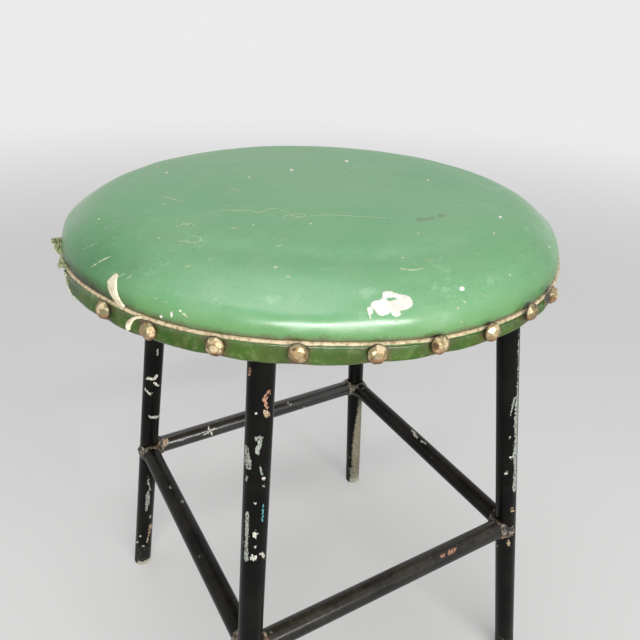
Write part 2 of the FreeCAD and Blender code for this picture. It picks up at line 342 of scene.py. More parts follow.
def blend(share, first, second):
    """A mix of two colours."""
    made = add(share.tree, "Mix", {"data_type": "RGBA"}, i0=share)
    for socket, colour in ((made.inputs[6], first), (made.inputs[7], second)):
        put(share.tree, socket, colour if isinstance(colour, Value) else colour + (1.0,))
    return Value(share.tree, made.outputs[2])


def layered(colour, *layers):
    """A colour with others laid over it, each with its share."""
    for share, layer in layers:
        colour = blend(share, colour, layer)
    return colour


class Look:
    """A material in the making."""

    def __init__(self, name):
        self.material = bpy.data.materials.new(name)
        self.material.use_nodes = True
        self.tree = self.material.node_tree
        self.shader = self.tree.nodes["Principled BSDF"]
        self.relief = None

    def read(self, kind, output, settings=None, **inputs):
        """One output of a new node."""
        made = add(self.tree, kind, settings, **inputs)
        return Value(self.tree, made.outputs[output])

    def place(self):
        return self.read("TexCoord", "Object")

    def height(self):
        """Height above the floor, in millimetres."""
        return self.read("SeparateXYZ", "Z", Vector=self.place()) * 1000.0

    def normal(self):
        return self.read("NewGeometry", "Normal")

    def facing(self, direction):
        """How far the surface faces a direction, from -1 to 1."""
        return self.read("VectorMath", "Value", {"operation": "DOT_PRODUCT"}, i0=self.normal(), i1=direction)

    def values(self, name):
        """The numbers that each vertex holds under a name."""
        return self.read("Attribute", "Fac", {"attribute_name": name})

    def lumps(self, scale, detail, roughness=0.5, place=None):
        place = place or self.place()
        return self.read("TexNoise", "Fac", Vector=place, Scale=scale, Detail=detail, Roughness=roughness)

    def grain(self, turn, scale, detail, roughness):
        """Noise with a scale of its own along each of three axes, which are turned about the vertical."""
        turned = (0, 0, radians(turn))
        place = self.read("Mapping", "Vector", Vector=self.place(), Rotation=turned, Scale=scale)
        return self.lumps(1.0, detail, roughness, place)

    def bump(self, height, distance_mm, strength):
        """Relief, on top of any that the material has."""
        inputs = {"Height": height, "Distance": distance_mm * MM, "Strength": strength}
        if self.relief:
            inputs["Normal"] = self.relief
        self.relief = self.read("Bump", "Normal", **inputs)

    def finish(self, colour, roughness, specular=0.5, metallic=0.0):
        results = {
            "Base Color": colour,
            "Roughness": roughness,
            "Specular IOR Level": specular,
            "Metallic": metallic,
        }
        if self.relief:
            results["Normal"] = self.relief
        for name, value in results.items():
            put(self.tree, self.shader.inputs[name], value)
        return self.material


def vinyl_look():
    """Aged green vinyl: mottled, with the cloth's threads showing through, grime low on the side and painted
    shade on parts of the side.
    """
    look = Look("seat_vinyl")
    thread_turn = camera_azimuth - 1
    broad = look.lumps(7.0, 3.0)
    middle = look.lumps(38.0, 4.0, 0.6)
    speck = look.lumps(520.0, 2.0, 0.7)
    along = look.grain(thread_turn, (110, 1700, 300), 2.0, 0.6)
    weave = along * look.grain(thread_turn, (1700, 260, 300), 2.0, 0.5)
    rise = look.values("rise")
    worn = span(look.lumps(60.0, 5.0, 0.7), 0.56, 0.66) * 0.5
    shoulder = span(rise, 9.0, 21.0) * span(rise, 36.0, 27.0)
    # Parts of the side are painted darker and greener, mostly as painted shade with some dirt on the left;
    # there the grime in the crease is darker and reaches higher too
    shade_and_soil = span(look.values("painted_shade_and_soil") + (middle - 0.5) * 0.9, 0.15, 0.95)
    low = rise + look.lumps(130.0, 4.0, 0.7) * 6.0 - shade_and_soil * 1.2
    dirt = blend(shade_and_soil, (0.105, 0.082, 0.040), (0.032, 0.026, 0.014))
    colour = layered(
        blend(span(broad, 0.35, 0.68), (0.120, 0.360, 0.160), (0.185, 0.400, 0.195)),
        (span(middle, 0.45, 0.75) * 0.7, (0.235, 0.420, 0.225)),
        (span(weave, 0.14, 0.44) * 0.8, (0.14, 0.325, 0.150)),
        (span(speck, 0.63, 0.72) * 0.35, (0.32, 0.47, 0.28)),
        (worn * shoulder, (0.30, 0.50, 0.32)),
        (span(rise + middle * 8.0, 20.0, 7.0) * 0.70, (0.120, 0.280, 0.075)),
        (shade_and_soil * 0.8, (0.075, 0.215, 0.090)),
        (shade_and_soil * span(rise, 10.0, 5.0) * 0.7, (0.050, 0.100, 0.034)),
        (span(low, 7.6, 3.4) * 0.85, dirt),
        (span(rise, -5.0, -6.5), (0.20, 0.30, 0.16)),
    )
    limits = {"From_Min": 0.3, "From_Max": 0.7, "To_Min": 0.18, "To_Max": 0.27}
    polish = look.read("MapRange", "Result", Value=middle, **limits)
    sat_on = span(rise, 19.0, 33.0)
    turned_side = span(rise, 2.0, 8.0) * span(rise, 24.0, 14.0)
    gloss = (turned_side * 0.40 + 0.60) * (1.0 - look.values("dull") * 0.95)
    look.bump(weave, 0.11, 0.4)
    look.bump(look.lumps(260.0, 3.0, 0.6), 0.16, 0.4)
    return look.finish(colour, polish + turned_side * 0.08 + sat_on * 0.22, gloss)


def band_look():
    """Darker olive vinyl with brown grime round the nails and under the piping."""
    look = Look("band_vinyl")
    broad = look.lumps(30.0, 4.0, 0.6)
    fine = look.lumps(190.0, 4.0, 0.65)
    patch = look.lumps(62.0, 3.0, 0.6)
    grime = look.values("grime") + fine * 0.7
    fold = look.values("fold")
    colour = layered(
        blend(span(broad, 0.35, 0.65), (0.032, 0.080, 0.012), (0.060, 0.124, 0.020)),
        (span(fine, 0.50, 0.67) * 0.55, (0.16, 0.21, 0.075)),
        (span(fine, 0.46, 0.34) * 0.45, (0.030, 0.065, 0.014)),
        (span(patch, 0.45, 0.62) * 0.5, (0.070, 0.084, 0.022)),
        (span(grime, 0.55, 1.20) * 0.85, (0.110, 0.078, 0.042)),
        (span(grime, 1.25, 1.45), (0.050, 0.034, 0.018)),
    )
    look.bump(broad, 0.8, 0.5)
    look.bump(fine, 0.22, 0.6)
    return look.finish(colour, 0.28 - fold * 0.12, fold * 0.5 + 0.20)


def welt_look():
    """Piping worn to its tan backing along the top, and green below."""
    look = Look("welt_vinyl")
    fine = look.lumps(300.0, 4.0, 0.7)
    broad = look.lumps(34.0, 3.0, 0.6)
    green = blend(fine, (0.085, 0.170, 0.055), (0.22, 0.33, 0.14))
    tan = blend(span(fine, 0.32, 0.58), (0.35, 0.25, 0.13), (0.68, 0.56, 0.37))
    edge = look.values("wear") + broad * 0.45 + fine * 0.30
    dirt = look.values("dirt") + fine * 0.4
    colour = blend(span(edge, 0.80, 0.95), green, tan)
    colour = blend(span(dirt, 0.62, 0.92), colour, (0.105, 0.072, 0.036))
    look.bump(fine, 0.12, 0.5)
    return look.finish(colour, 0.40, 0.3)


def brass_look():
    """Hammered nail heads: facets of random tone whose bright ones are partly painted highlights, dull green
    ones, copper and painted shade low down, and a brown rim.
    """
    look = Look("aged_brass")
    fine = look.lumps(420.0, 4.0, 0.65)
    patch = look.lumps(170.0, 3.0, 0.6)
    tone = look.values("tone") + (fine - 0.5) * 1.6
    lower = look.values("lower")
    rim = look.values("rim") + fine * 0.5
    dull = span(patch, 0.47, 0.56) * span(tone, 0.95, 0.45)
    copper = span(lower, 0.10, 0.6) * span(fine, 0.36, 0.55)
    colour = layered(
        blend(span(tone, 0.05, 0.55), (0.115, 0.066, 0.026), (0.37, 0.25, 0.12)),
        # Bright facets: rubbed brass, and partly a painted highlight that stands for the facets' reflections
        (span(tone, 0.60, 1.00), (0.76, 0.62, 0.39)),
        (dull * 0.7, (0.25, 0.235, 0.135)),
        (copper * 0.8, (0.33, 0.125, 0.045)),
        # Painted shade on the lowest part of each head
        (span(lower, 0.45, 0.95) * 0.8, (0.045, 0.024, 0.012)),
        (span(rim, 0.85, 1.25), (0.050, 0.030, 0.017)),
    )
    look.bump(fine, 0.30, 0.8)
    return look.finish(colour, 0.38, metallic=0.5)


def paint_look(name, worn_and_lit_side=None, dust_and_sheen=0.0, gloss=0.08):
    """Glossy black paint on steel tube, with small chips, and a brownish film on upward sides that is dust
    and a painted sheen of light. The paint that faces worn_and_lit_side is worn to pale khaki low down,
    partly as painted light from that side.
    """
    look = Look(name)
    fine = look.lumps(240.0, 4.0, 0.6)
    broad = look.lumps(26.0, 4.0, 0.65)
    colour = blend(span(broad, 0.4, 0.7), (0.0035, 0.0035, 0.0032), (0.0080, 0.0075, 0.0062))
    # Brownish film on the upward-facing sides: dust, and a painted sheen of the light from above
    if dust_and_sheen:
        upward = look.read("SeparateXYZ", "Z", Vector=look.normal())
        film = span(upward, -0.2, 1.1) * span(broad, 0.25, 0.75) * fine
        colour = blend(film * dust_and_sheen, colour, (0.070, 0.061, 0.047))
    chips = span(look.lumps(75.0, 5.0, 0.62), 0.685, 0.700) * span(broad, 0.45, 0.55)
    colour = blend(chips * 0.85, colour, (0.33, 0.31, 0.27))
    roughness = look.read("MapRange", "Result", Value=chips, To_Min=0.25, To_Max=0.6)
    # Pale khaki low on the side that faces the given direction: worn paint, and painted light from that side
    if worn_and_lit_side:
        height = look.height()
        edge = look.facing(worn_and_lit_side) + fine * 0.5 + span(height, 185.0, 60.0) * 0.75
        worn = span(edge, 0.60, 0.95) * span(height, 178.0, 140.0)
        khaki = blend(fine, (0.115, 0.10, 0.065), (0.40, 0.37, 0.27))
        colour = blend(worn, colour, khaki)
        roughness = roughness + worn * 0.3
    look.bump(broad, 0.35, 0.5)
    return look.finish(colour, roughness, gloss)


def rough_metal_look(name, dark, light, scale, metallic):
    look = Look(name)
    fine = look.lumps(scale, 5.0, 0.7)
    patch = look.lumps(scale / 5, 3.0, 0.6)
    colour = blend(span(fine, 0.36, 0.66), dark, light)
    colour = blend(span(patch, 0.5, 0.7) * 0.5, colour, dark)
    look.bump(fine, 0.1, 0.8)
    return look.finish(colour, 0.4, metallic=metallic)


def foot_look(name, paint_bottom):
    """Scratched bare steel with rust spots. The side away from the camera's right is dark, as old paint and
    painted shade, and old paint is left above paint_bottom, in mm.
    """
    look = Look(name)
    fine = look.lumps(260.0, 5.0, 0.7)
    patch = look.lumps(100.0, 3.0, 0.6)
    height = look.height() + fine * 14.0
    side = look.facing(tuple(eye_right)) + fine * 0.6
    scratches = span(look.lumps(480.0, 4.0, 0.7), 0.57, 0.63)
    # Dark on the side away from the camera's right, as old paint and painted shade, and old paint above
    # paint_bottom
    paint = maths("MAXIMUM", span(side, -0.05, -0.25), span(height, paint_bottom, paint_bottom + 1.5))
    colour = layered(
        blend(span(fine, 0.36, 0.66), (0.17, 0.16, 0.115), (0.46, 0.44, 0.335)),
        (span(patch, 0.56, 0.62) * 0.7, (0.15, 0.09, 0.045)),
        (span(height, 20.0, 13.0) * 0.5, (0.66, 0.62, 0.50)),
        (maths("MAXIMUM", paint - scratches * 0.6, 0.0), (0.006, 0.006, 0.005)),
    )
    look.bump(fine, 0.3, 0.8)
    return look.finish(colour, 0.5, 0.12)


def braze_look():
    """Lumpy filler metal with rubbed high spots and old black paint in patches."""
    look = Look("braze_metal")
    fine = look.lumps(330.0, 5.0, 0.7)
    patch = look.lumps(90.0, 3.0, 0.6)
    colour = layered(
        blend(span(fine, 0.46, 0.66), (0.035, 0.030, 0.024), (0.50, 0.42, 0.31)),
        (span(patch, 0.58, 0.66) * 0.5, (0.30, 0.15, 0.08)),
        (span(patch, 0.47, 0.37), (0.012, 0.011, 0.010)),
    )
    look.bump(fine, 0.5, 0.9)
    return look.finish(colour, 0.5, metallic=0.35)


def wood_look():
    """Dry plywood: long grain on the underside and plies at the edge."""
    look = Look("plywood")
    grain = look.grain(12, (9, 170, 60), 5.0, 0.65)
    rings = look.grain(12, (3, 28, 10), 2.0, 0.5)
    colour = blend(span(grain, 0.35, 0.65), (0.30, 0.175, 0.085), (0.52, 0.36, 0.20))
    colour = blend(span(rings, 0.45, 0.6) * 0.4, colour, (0.24, 0.13, 0.06))
    look.bump(grain, 0.3, 0.7)
    return look.finish(colour, 0.75)


def mark_look(name, dark, light, scale=400.0, roughness=0.6, depth_mm=0.15):
    """Paint spots, scratches, chips and torn vinyl."""
    look = Look(name)
    fine = look.lumps(scale, 4.0, 0.65)
    look.bump(fine, depth_mm, 0.7)
    return look.finish(blend(span(fine, 0.33, 0.62), dark, light), roughness)


seat_vinyl = vinyl_look()
band_vinyl = band_look()
welt_vinyl = welt_look()
aged_brass = brass_look()
black_paint = paint_look("black_paint")
worn_and_lit_paint = paint_look("worn_and_lit_black_paint", tuple(eye_right))
dust_and_sheen_paint = paint_look("dust_and_sheen_black_paint", dust_and_sheen=1.4, gloss=0.30)
dull_paint = paint_look("dull_black_paint", dust_and_sheen=0.5, gloss=0.12)
shiny_paint = paint_look("shiny_black_paint", dust_and_sheen=0.6, gloss=0.75)
braze_metal = braze_look()
bare_foot = foot_look("foot_steel", 60.0)
painted_foot = foot_look("painted_foot_steel", 13.0)
tack_metal = rough_metal_look("tack_steel", (0.03, 0.032, 0.045), (0.13, 0.13, 0.15), 200.0, 0.8)
screw_metal = rough_metal_look("screw_steel", (0.14, 0.12, 0.10), (0.42, 0.40, 0.37), 240.0, 0.85)
plywood = wood_look()
white_paint = mark_look("white_paint", (0.66, 0.65, 0.57), (0.83, 0.82, 0.75), 160.0, 0.5, 0.5)
pale_scratch = mark_look("pale_scratch", (0.36, 0.45, 0.27), (0.66, 0.70, 0.48))
faint_scratch = mark_look("faint_scratch", (0.24, 0.37, 0.20), (0.36, 0.46, 0.27))
brown_smudge = mark_look("brown_smudge", (0.19, 0.325, 0.18), (0.185, 0.275, 0.155))
torn_cream = mark_look("torn_cream", (0.60, 0.52, 0.34), (0.86, 0.80, 0.61), 220.0, 0.8, 0.3)
flap_vinyl = mark_look("flap_vinyl", (0.20, 0.235, 0.12), (0.39, 0.42, 0.245), 230.0, 0.8, 0.3)
fray_thread = mark_look("fray_thread", (0.36, 0.41, 0.22), (0.76, 0.75, 0.54), 300.0, 0.9, 0.1)
chip_looks = {
    name: mark_look(name, dark, light, 500.0, roughness, depth_mm)
    for name, dark, light, roughness, depth_mm in (
        ("grey_chip", (0.13, 0.14, 0.115), (0.40, 0.43, 0.37), 0.6, 0.2),
        ("pale_chip", (0.34, 0.33, 0.27), (0.70, 0.68, 0.58), 0.6, 0.2),
        ("tan_chip", (0.22, 0.145, 0.08), (0.55, 0.42, 0.27), 0.6, 0.2),
        ("orange_chip", (0.20, 0.090, 0.048), (0.50, 0.27, 0.165), 0.6, 0.2),
        ("cyan_chip", (0.03, 0.16, 0.17), (0.11, 0.40, 0.41), 0.5, 0.1),
    )
}


# Cushion

def crown_profile():
    """The cover's outer line, from the top's middle to under the corner: radius and height in millimetres."""
    corner_centre = (board_radius + cover_outer + crease_step, board_top + corner_radius)
    side_centre = (corner_centre[0] + corner_radius - side_radius, corner_centre[1])
    turn = radians(side_turn)
    step = shoulder_radius - side_radius
    shoulder_centre = (side_centre[0] - step * cos(turn), side_centre[1] - step * sin(turn))
    rise = board_top + pad_height - shoulder_centre[1]
    reach = shoulder_centre[0]
    crown_radius = (reach ** 2 + rise ** 2 - shoulder_radius ** 2) / (2 * (rise - shoulder_radius))
    crown_centre = (0.0, board_top + pad_height - crown_radius)
    crown_turn = math.acos(reach / (crown_radius - shoulder_radius))
    arcs = (
        (crown_centre, crown_radius, pi / 2, crown_turn, 160),
        (shoulder_centre, shoulder_radius, crown_turn, turn, 60),
        (side_centre, side_radius, turn, 0.0, 40),
        (corner_centre, corner_radius, 0.0, -pi / 2, 16),
    )
    line = []
    for (across, up), radius, start, end, count in arcs:
        reach_out = radius + cover_outer
        line += [(across + reach_out * cos(angle), up + reach_out * sin(angle))
                 for angle in np.linspace(start, end, count)]
    return np.array(line)


def disc_grid(cells):
    """A square grid laid over a unit disc, with its rim points in order round it."""
    points = []
    for row in np.linspace(-1, 1, cells + 1):
        for column in np.linspace(-1, 1, cells + 1):
            if abs(column) >= abs(row):
                radius = column
                angle = pi / 4 * (row / column) if column else 0.0
            else:
                radius = row
                angle = pi / 2 - pi / 4 * (column / row)
            points.append((radius * cos(angle), radius * sin(angle)))
    width = cells + 1
    faces = []
    for row in range(cells):
        for column in range(cells):
            first = row * width + column
            faces.append((first, first + 1, first + 1 + width, first + width))
    rim = [index for index in range(width * width)
           if index % width in (0, cells) or index // width in (0, cells)]
    rim.sort(key=lambda index: math.atan2(points[index][1], points[index][0]))
    return points, faces, rim


def cover_unevenness(place):
    """How far the stuffing pushes the cover out or in at a place, in millimetres."""
    side = clamped((math.hypot(place.x, place.y) - 120.0) / 60.0)
    lump = 0.45 * soft_noise(place, 70.0, 3.0) + side * (0.75 * soft_noise(place, 34.0, 8.0))
    low = bell(place.z - 474.0, 7.0)
    pull = 0.55 * low * bell(nearest(azimuth_of(place.x, place.y), nail_azimuths), 2.4)
    return lump - pull


def make_cushion():
    line = crown_profile()
    distance = np.concatenate([[0.0], np.cumsum(np.hypot(*np.diff(line, axis=0).T))])
    # Distances along the profile in millimetres: how far the grid reaches, and from the corner back to where
    # the rows get close, to where the cover is held a little, and over which it gets held fully
    grid_reach = 150.0
    close_rows = 8.0
    held_back = 26.0
    held_fade = 17.0
    tuck_down = 1.2
    tuck_out = 0.4
    swell_cap = 1.2
    grid, faces, rim = disc_grid(72)
    points = []
    held = []
    rises = []

    def add_point(across, along, at):
        """A point of the cover's outside, from its direction and its distance along the profile."""
        radius = np.interp(at, distance, line[:, 0])
        height = np.interp(at, distance, line[:, 1])
        rises.append(height - board_top)
        if height < board_top + 30 and radius > 150:
            height += clamped((board_top + 22 - height) / 18) * edge_lift(azimuth_of(across, along))
            tuck = clamped((board_top + 9 - height) / 6)
            height -= tuck_down * tuck
            radius += tuck_out * tuck
        points.append(Vector((radius * across, radius * along, height)))
        held.append(clamped((at - distance[-1] + held_back) / held_fade))

    def join_row(previous):
        """Joins the newest points to the row before them, and gives the newest row."""
        around = len(previous)
        row = range(len(points) - around, len(points))
        for index in range(around):
            following = (index + 1) % around
            faces.append((previous[index], row[index], row[following], previous[following]))
        return row

    for x, y in grid:
        reach = math.hypot(x, y)
        across, along = (x / reach, y / reach) if reach else (1.0, 0.0)
        add_point(across, along, reach * grid_reach)
    turns = [math.atan2(grid[index][1], grid[index][0]) for index in rim]
    stops = list(np.linspace(grid_reach, distance[-1] - close_rows, 23)[1:])
    stops += list(np.linspace(distance[-1] - close_rows, distance[-1], 14)[1:])
    row = rim
    for stop in stops:
        for turn in turns:
            add_point(cos(turn), sin(turn), stop)
        row = join_row(row)
    outer = board_radius + cover_outer
    under = board_underside - cover_outer
    edge_line = [
        (outer, board_top - cover_outer), (outer, board_top - 4.0), (outer, board_underside + 3.0),
        (outer, board_underside), (board_radius + 0.7 * cover_outer, board_underside - 0.7 * cover_outer),
        (board_radius, under), (board_radius - 2.5, under), (board_radius - 5.5, under),
        (board_radius - 8.5, under), (hem_inner_radius, under), (hem_inner_radius, under + hem_thickness),
        (hem_inner_radius + 3.0, under + hem_thickness),
    ]
    for step, (radius, height) in enumerate(edge_line):
        turned_in = clamped((step - 5) / 4)
        for turn in turns:
            degrees = math.degrees(turn)
            ragged = radius + turned_in * 1.6 * soft_noise(polar(60, degrees, 0), 9.0, 5.0)
            pleat = max(0.0, soft_noise(polar(60, degrees, 9), 1.7, 2.0))
            drop = turned_in * 0.35 * pleat if step < 10 else 0.0
            points.append(Vector((ragged * cos(turn), ragged * sin(turn), height - drop)))
            held.append(1.0)
            rises.append(height - board_top)
        row = join_row(row)

    piece = new_piece("cushion", [point * MM for point in points], faces, seat_vinyl)
    swell(piece, held, swell_cap)
    shape_cover(piece, held)
    add_values(piece, rise=rises)
    # Shares of the side's painted shade and dirt, and of its dullness, for each vertex, fading out up the
    # side
    for name, places, top, fade in (("painted_shade_and_soil", shade_and_soil_places, 38.0, 20.0), ("dull", dull_places, 34.0, 6.0)):
        values = []
        for vertex, rise in zip(piece.data.vertices, rises):
            degrees = azimuth_of(vertex.co.x, vertex.co.y)
            near = sum(share * bell(turn_between(degrees, place), width) for place, width, share in places)
            values.append(near * clamped((top - rise) / fade))
        add_values(piece, **{name: values})
    smooth = piece.modifiers.new("smooth", "SUBSURF")
    set_all(smooth, levels=1, render_levels=1)
    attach(piece, "root")
    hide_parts("seat_cover", "seat_pad")
    return piece


def swell(piece, held, cap_mm):
    """Fills the cushion with a short cloth simulation, evens its creases and keeps points within the cap."""
    group = piece.vertex_groups.new(name="held")
    for index, share in enumerate(held):
        if share > 0:
            group.add([index], share, "REPLACE")
    rest = np.array([vertex.co for vertex in piece.data.vertices])
    cloth = piece.modifiers.new("swell", "CLOTH")
    set_all(
        cloth.settings, quality=4, mass=0.3, tension_stiffness=20, compression_stiffness=20,
        bending_stiffness=2, use_pressure=True, uniform_pressure_force=4, vertex_group_mass="held",
    )
    cloth.settings.effector_weights.gravity = 0
    last_moment = 20
    set_all(cloth.point_cache, frame_start=1, frame_end=last_moment)
    for moment in range(1, last_moment + 1):
        scene.frame_set(moment)
    mesh = piece.evaluated_get(bpy.context.evaluated_depsgraph_get()).to_mesh()
    step = np.array([vertex.co for vertex in mesh.vertices]) - rest
    piece.modifiers.remove(cloth)
    scene.frame_set(1)
    ends = np.array([edge.vertices for edge in piece.data.edges])
    here, there = np.concatenate([ends, ends[:, ::-1]]).T
    neighbours = np.maximum(np.bincount(here, minlength=len(step)), 1)[:, None]
    loose = np.minimum(1.0, 1.5 - np.array(held)[:, None])
    for _ in range(40):
        total = np.zeros_like(step)
        np.add.at(total, here, step[there])
        step = (0.5 * step + 0.5 * total / neighbours) * loose
    length = np.linalg.norm(step, axis=1, keepdims=True)
    step *= np.minimum(1.0, cap_mm * MM / np.maximum(length, 1e-9))
    piece.data.vertices.foreach_set("co", (rest + step).ravel())
    piece.data.update()


def shape_cover(piece, held):
    """Lumps of the stuffing and dents beside the nails."""
    for vertex, share in zip(piece.data.vertices, held):
        place = vertex.co / MM
        if share < 1.0:
            radius = math.hypot(place.x, place.y) or 1.0
            lean = clamped((radius - 150.0) / 44.0) ** 2
            outward = Vector((place.x / radius * lean, place.y / radius * lean, 1.0 - 0.8 * lean))
            fade = clamped((place.z - board_top - 1.0) / 5.0)
            vertex.co += outward.normalized() * cover_unevenness(place) * fade * MM
    piece.data.update()


# Piping and band

def make_welt():
    around = 1200
    section = 18
    points = []
    wear = []
    dirt = []
    for step in range(section):
        angle = 2 * pi * step / section
        for index in range(around):
            degrees = 360.0 * index / around
            spot = polar(welt_ring_radius, degrees, 0)
            lift = edge_lift(degrees) + 0.25 * soft_noise(spot, 30.0, 4.0) + 0.12 * soft_noise(spot, 6.0, 9.0)
            stand_out = 2.0 + 0.6 * bell(turn_between(degrees, 315.0), 15.0)
            thick = 0.94 + 0.09 * soft_noise(spot, 9.0, 1.0) + 0.05 * soft_noise(spot, 2.4, 6.0)
            radius = welt_ring_radius + stand_out + welt_radius * thick * cos(angle)
            height = welt_height + 0.4 + lift + welt_radius * thick * sin(angle)
            points.append(polar(radius, degrees, height) * MM)
            wear.append(0.5 + 0.5 * sin(angle))
            dirt.append(max(0.0, sin(angle - radians(58))) ** 2 * 0.60)
    piece = new_piece("welt", points, ring_faces(around, section, closed=True), welt_vinyl)
    add_values(piece, wear=wear, dirt=dirt)
    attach(piece, "root")
    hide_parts("welt_cover", "welt_cord")
    return piece


def band_section():
    """Depth out from the band's inner face and share of its height, going round the band's section."""
    low = band_edge_radius / band_height
    fold = 1.0
    fold_out = band_top_depth + 0.9
    fold_share = 1.22 - fold / band_height
    low_out = band_low_depth - 0.6
    line = [(0.0, 0.0), (0.0, 1.0), (1.4, 1.02), (2.5, 1.06), (3.4, 1.12), (fold_out - fold, 1.22)]
    for angle in (68, 46, 26, 12):
        turn = radians(angle)
        line.append((fold_out - fold + fold * cos(turn), fold_share + fold / band_height * sin(turn)))
    for share in np.linspace(0.06, 1, 8):
        bulge = 4 * share * (1 - share) * 0.12
        out = fold_out + (low_out - fold_out) * share + bulge
        line.append((out, fold_share + (low - fold_share) * share))
    for angle in np.linspace(0, -90, 7)[1:]:
        turn = radians(angle)
        line.append((low_out - band_edge_radius + band_edge_radius * cos(turn), low + low * sin(turn)))
    line.append((2.5, 0.0))
    return line


def make_band():
    around = 1440
    line = band_section()
    points = []
    grime = []
    folds = []
    for step, (depth, share) in enumerate(line):
        outer = depth / band_low_depth
        for index in range(around):
            degrees = 360.0 * index / around
            spot = polar(band_inner_radius, degrees, band_top + share * band_height)
            gap = nearest(degrees, nail_azimuths) * radians(1) * band_inner_radius
            torn = torn_share(degrees, clamped(1.0 - share), step * 0.37)
            pull = -0.9 * bell(gap, 8.0)
            pucker = 0.40 * soft_noise(spot, 7.0, 2.0) * bell(abs(gap) - 9.0, 6.0)
            slack = 0.45 * soft_noise(spot, 24.0, 7.0)
            out = (depth + outer * (pull + pucker + slack)) * (1.0 - torn) + 0.7 * outer * torn
            top = band_top + edge_lift(degrees) - 0.3 * bell(gap, 7.0) * outer
            wander = 0.5 * soft_noise(spot, 18.0, 12.0) - 0.3 * bell(abs(gap) - 17.0, 8.0)
            low = band_top - band_height - 0.7 + outer * wander
            low += torn * (1.6 + 1.2 * soft_noise(spot, 3.0, 5.0))
            points.append(polar(band_inner_radius + out, degrees, low + (top - low) * share) * MM)
            near_top = bell((share - 1.0) * band_height, 1.1)
            dirty = 0.85 * bell(gap, 8.6) + 0.15 * near_top + 0.20 * (share < 0.12) + 1.2 * torn
            grime.append(min(1.0, dirty))
            folds.append(bell((share - 1.15) * band_height, 1.1))
    piece = new_piece("band", points, ring_faces(around, len(line), closed=True), band_vinyl)
    add_values(piece, grime=grime, fold=folds)
    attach(piece, "root")
    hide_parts("side_band")
    return piece


# Nails

def nail_seat():
    """Radius and height of the back of a nail's head."""
    slope = math.tan(radians(nail_tilt))
    low_height = band_top - band_height + band_edge_radius
    axis_height = (board_underside + board_top) / 2 - 1.3
    radius = band_inner_radius + band_low_depth
    for _ in range(4):
        height = axis_height + (radius - board_radius) * slope
        radius = band_inner_radius + band_low_depth - (height - low_height) * slope + 0.05
    return radius, axis_height + (radius - board_radius) * slope


def leaning(tip, turn):
    """A direction that leans away from +X by one angle and is turned about it by another."""
    return Vector((cos(tip), sin(tip) * cos(turn), sin(tip) * sin(turn)))


def hammered_head(rng, around, rows):
    """Points of a faceted dome along +X in rows from its rim to its crown, with each point's tone."""
    crown = Vector((1, rng.uniform(-0.12, 0.12), rng.uniform(-0.12, 0.12))).normalized()
    planes = [(crown, nail_head_height * rng.uniform(0.90, 0.96), rng.random())]
    rings = ((rng.choice((5, 6, 6, 7)), 38, 4.72), (rng.choice((7, 8, 9)), 66, 5.55))
    for count, lean, offset in rings:
        phase = rng.uniform(0, 360)
        for index in range(count):
            turn = radians(phase + index * 360.0 / count + rng.uniform(-11, 11))
            normal = leaning(radians(lean + rng.uniform(-7, 7)), turn)
            planes.append((normal, offset * rng.uniform(0.95, 1.03), rng.random()))
    points = []
    tones = []
    for row in range(rows):
        tip = radians(90 - 90 * row / (rows - 1) * 0.995)
        for index in range(around):
            direction = leaning(tip, 2 * pi * index / around)
            flatness = (direction.x / nail_head_height) ** 2 + (1 - direction.x ** 2) / nail_head_radius ** 2
            reach = 1 / math.sqrt(flatness)
            tone = 0.5
            for normal, offset, shade in planes:
                facing = direction.dot(normal)
                if facing > 0.05 and offset / facing < reach:
                    reach = offset / facing
                    tone = shade
            points.append(direction * reach)
            tones.append(tone)
    return points, tones


def make_nails():
    rng = random.Random(5)
    around = 40
    rows = 15
    radius, height = nail_seat()
    points = []
    faces = []
    tones = []
    lowers = []
    tilt = Matrix.Rotation(-radians(nail_tilt), 3, "Y")
    shifts = nail_shifts + [(0.0, 0.0)] * (len(nail_azimuths) - len(nail_shifts))
    for azimuth, (shift, lift) in zip(nail_azimuths, shifts):
        head, head_tones = hammered_head(rng, around, rows)
        turn = Matrix.Rotation(radians(azimuth + shift), 3, "Z")
        start = len(points)
        faces += ring_faces(around, rows, start=start)
        faces.append(tuple(start + (rows - 1) * around + index for index in range(around)))
        faces.append(tuple(start + index for index in range(around))[::-1])
        for place in head:
            seated = tilt @ place + Vector((radius, 0, height + lift))
            points.append((turn @ seated) * MM)
            lowers.append(max(0.0, -place.z / nail_head_radius))
        tones += head_tones
    rims = [max(0.0, 1 - row / 5.0) for row in range(rows) for _ in range(around)] * len(nail_azimuths)
    piece = new_piece("nail_heads", points, faces, aged_brass)
    add_values(piece, tone=tones, rim=rims, lower=lowers)
    edges = piece.modifiers.new("edges", "EDGE_SPLIT")
    edges.split_angle = radians(24)
    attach(piece, "root")
    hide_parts("dome_nails")


# Welds and brazing

def lumpy(node, name, metal, size_mm, depth_mm, seed):
    """A lumpy bead made from a CAD bead's shape."""
    mesh = bpy.data.meshes.new_from_object(nodes[node])
    mesh.materials.clear()
    mesh.materials.append(metal)
    piece = linked(name, mesh)
    voxel_mm = 0.9
    remesh = piece.modifiers.new("remesh", "REMESH")
    set_all(remesh, mode="VOXEL", voxel_size=voxel_mm * MM, use_smooth_shade=True)
    graph = bpy.context.evaluated_depsgraph_get()
    dense = bpy.data.meshes.new_from_object(piece.evaluated_get(graph))
    piece.modifiers.clear()
    piece.data = dense
    normals = [vertex.normal.copy() for vertex in dense.vertices]
    for vertex, normal in zip(dense.vertices, normals):
        place = vertex.co / MM
        push = soft_noise(place, size_mm, seed) + 0.5 * soft_noise(place, size_mm / 2.2, seed + 5)
        vertex.co += normal * push * depth_mm * MM
    for face in dense.polygons:
        face.use_smooth = True
    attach(piece, "root")
    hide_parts(node)


# Marks that lie on a surface

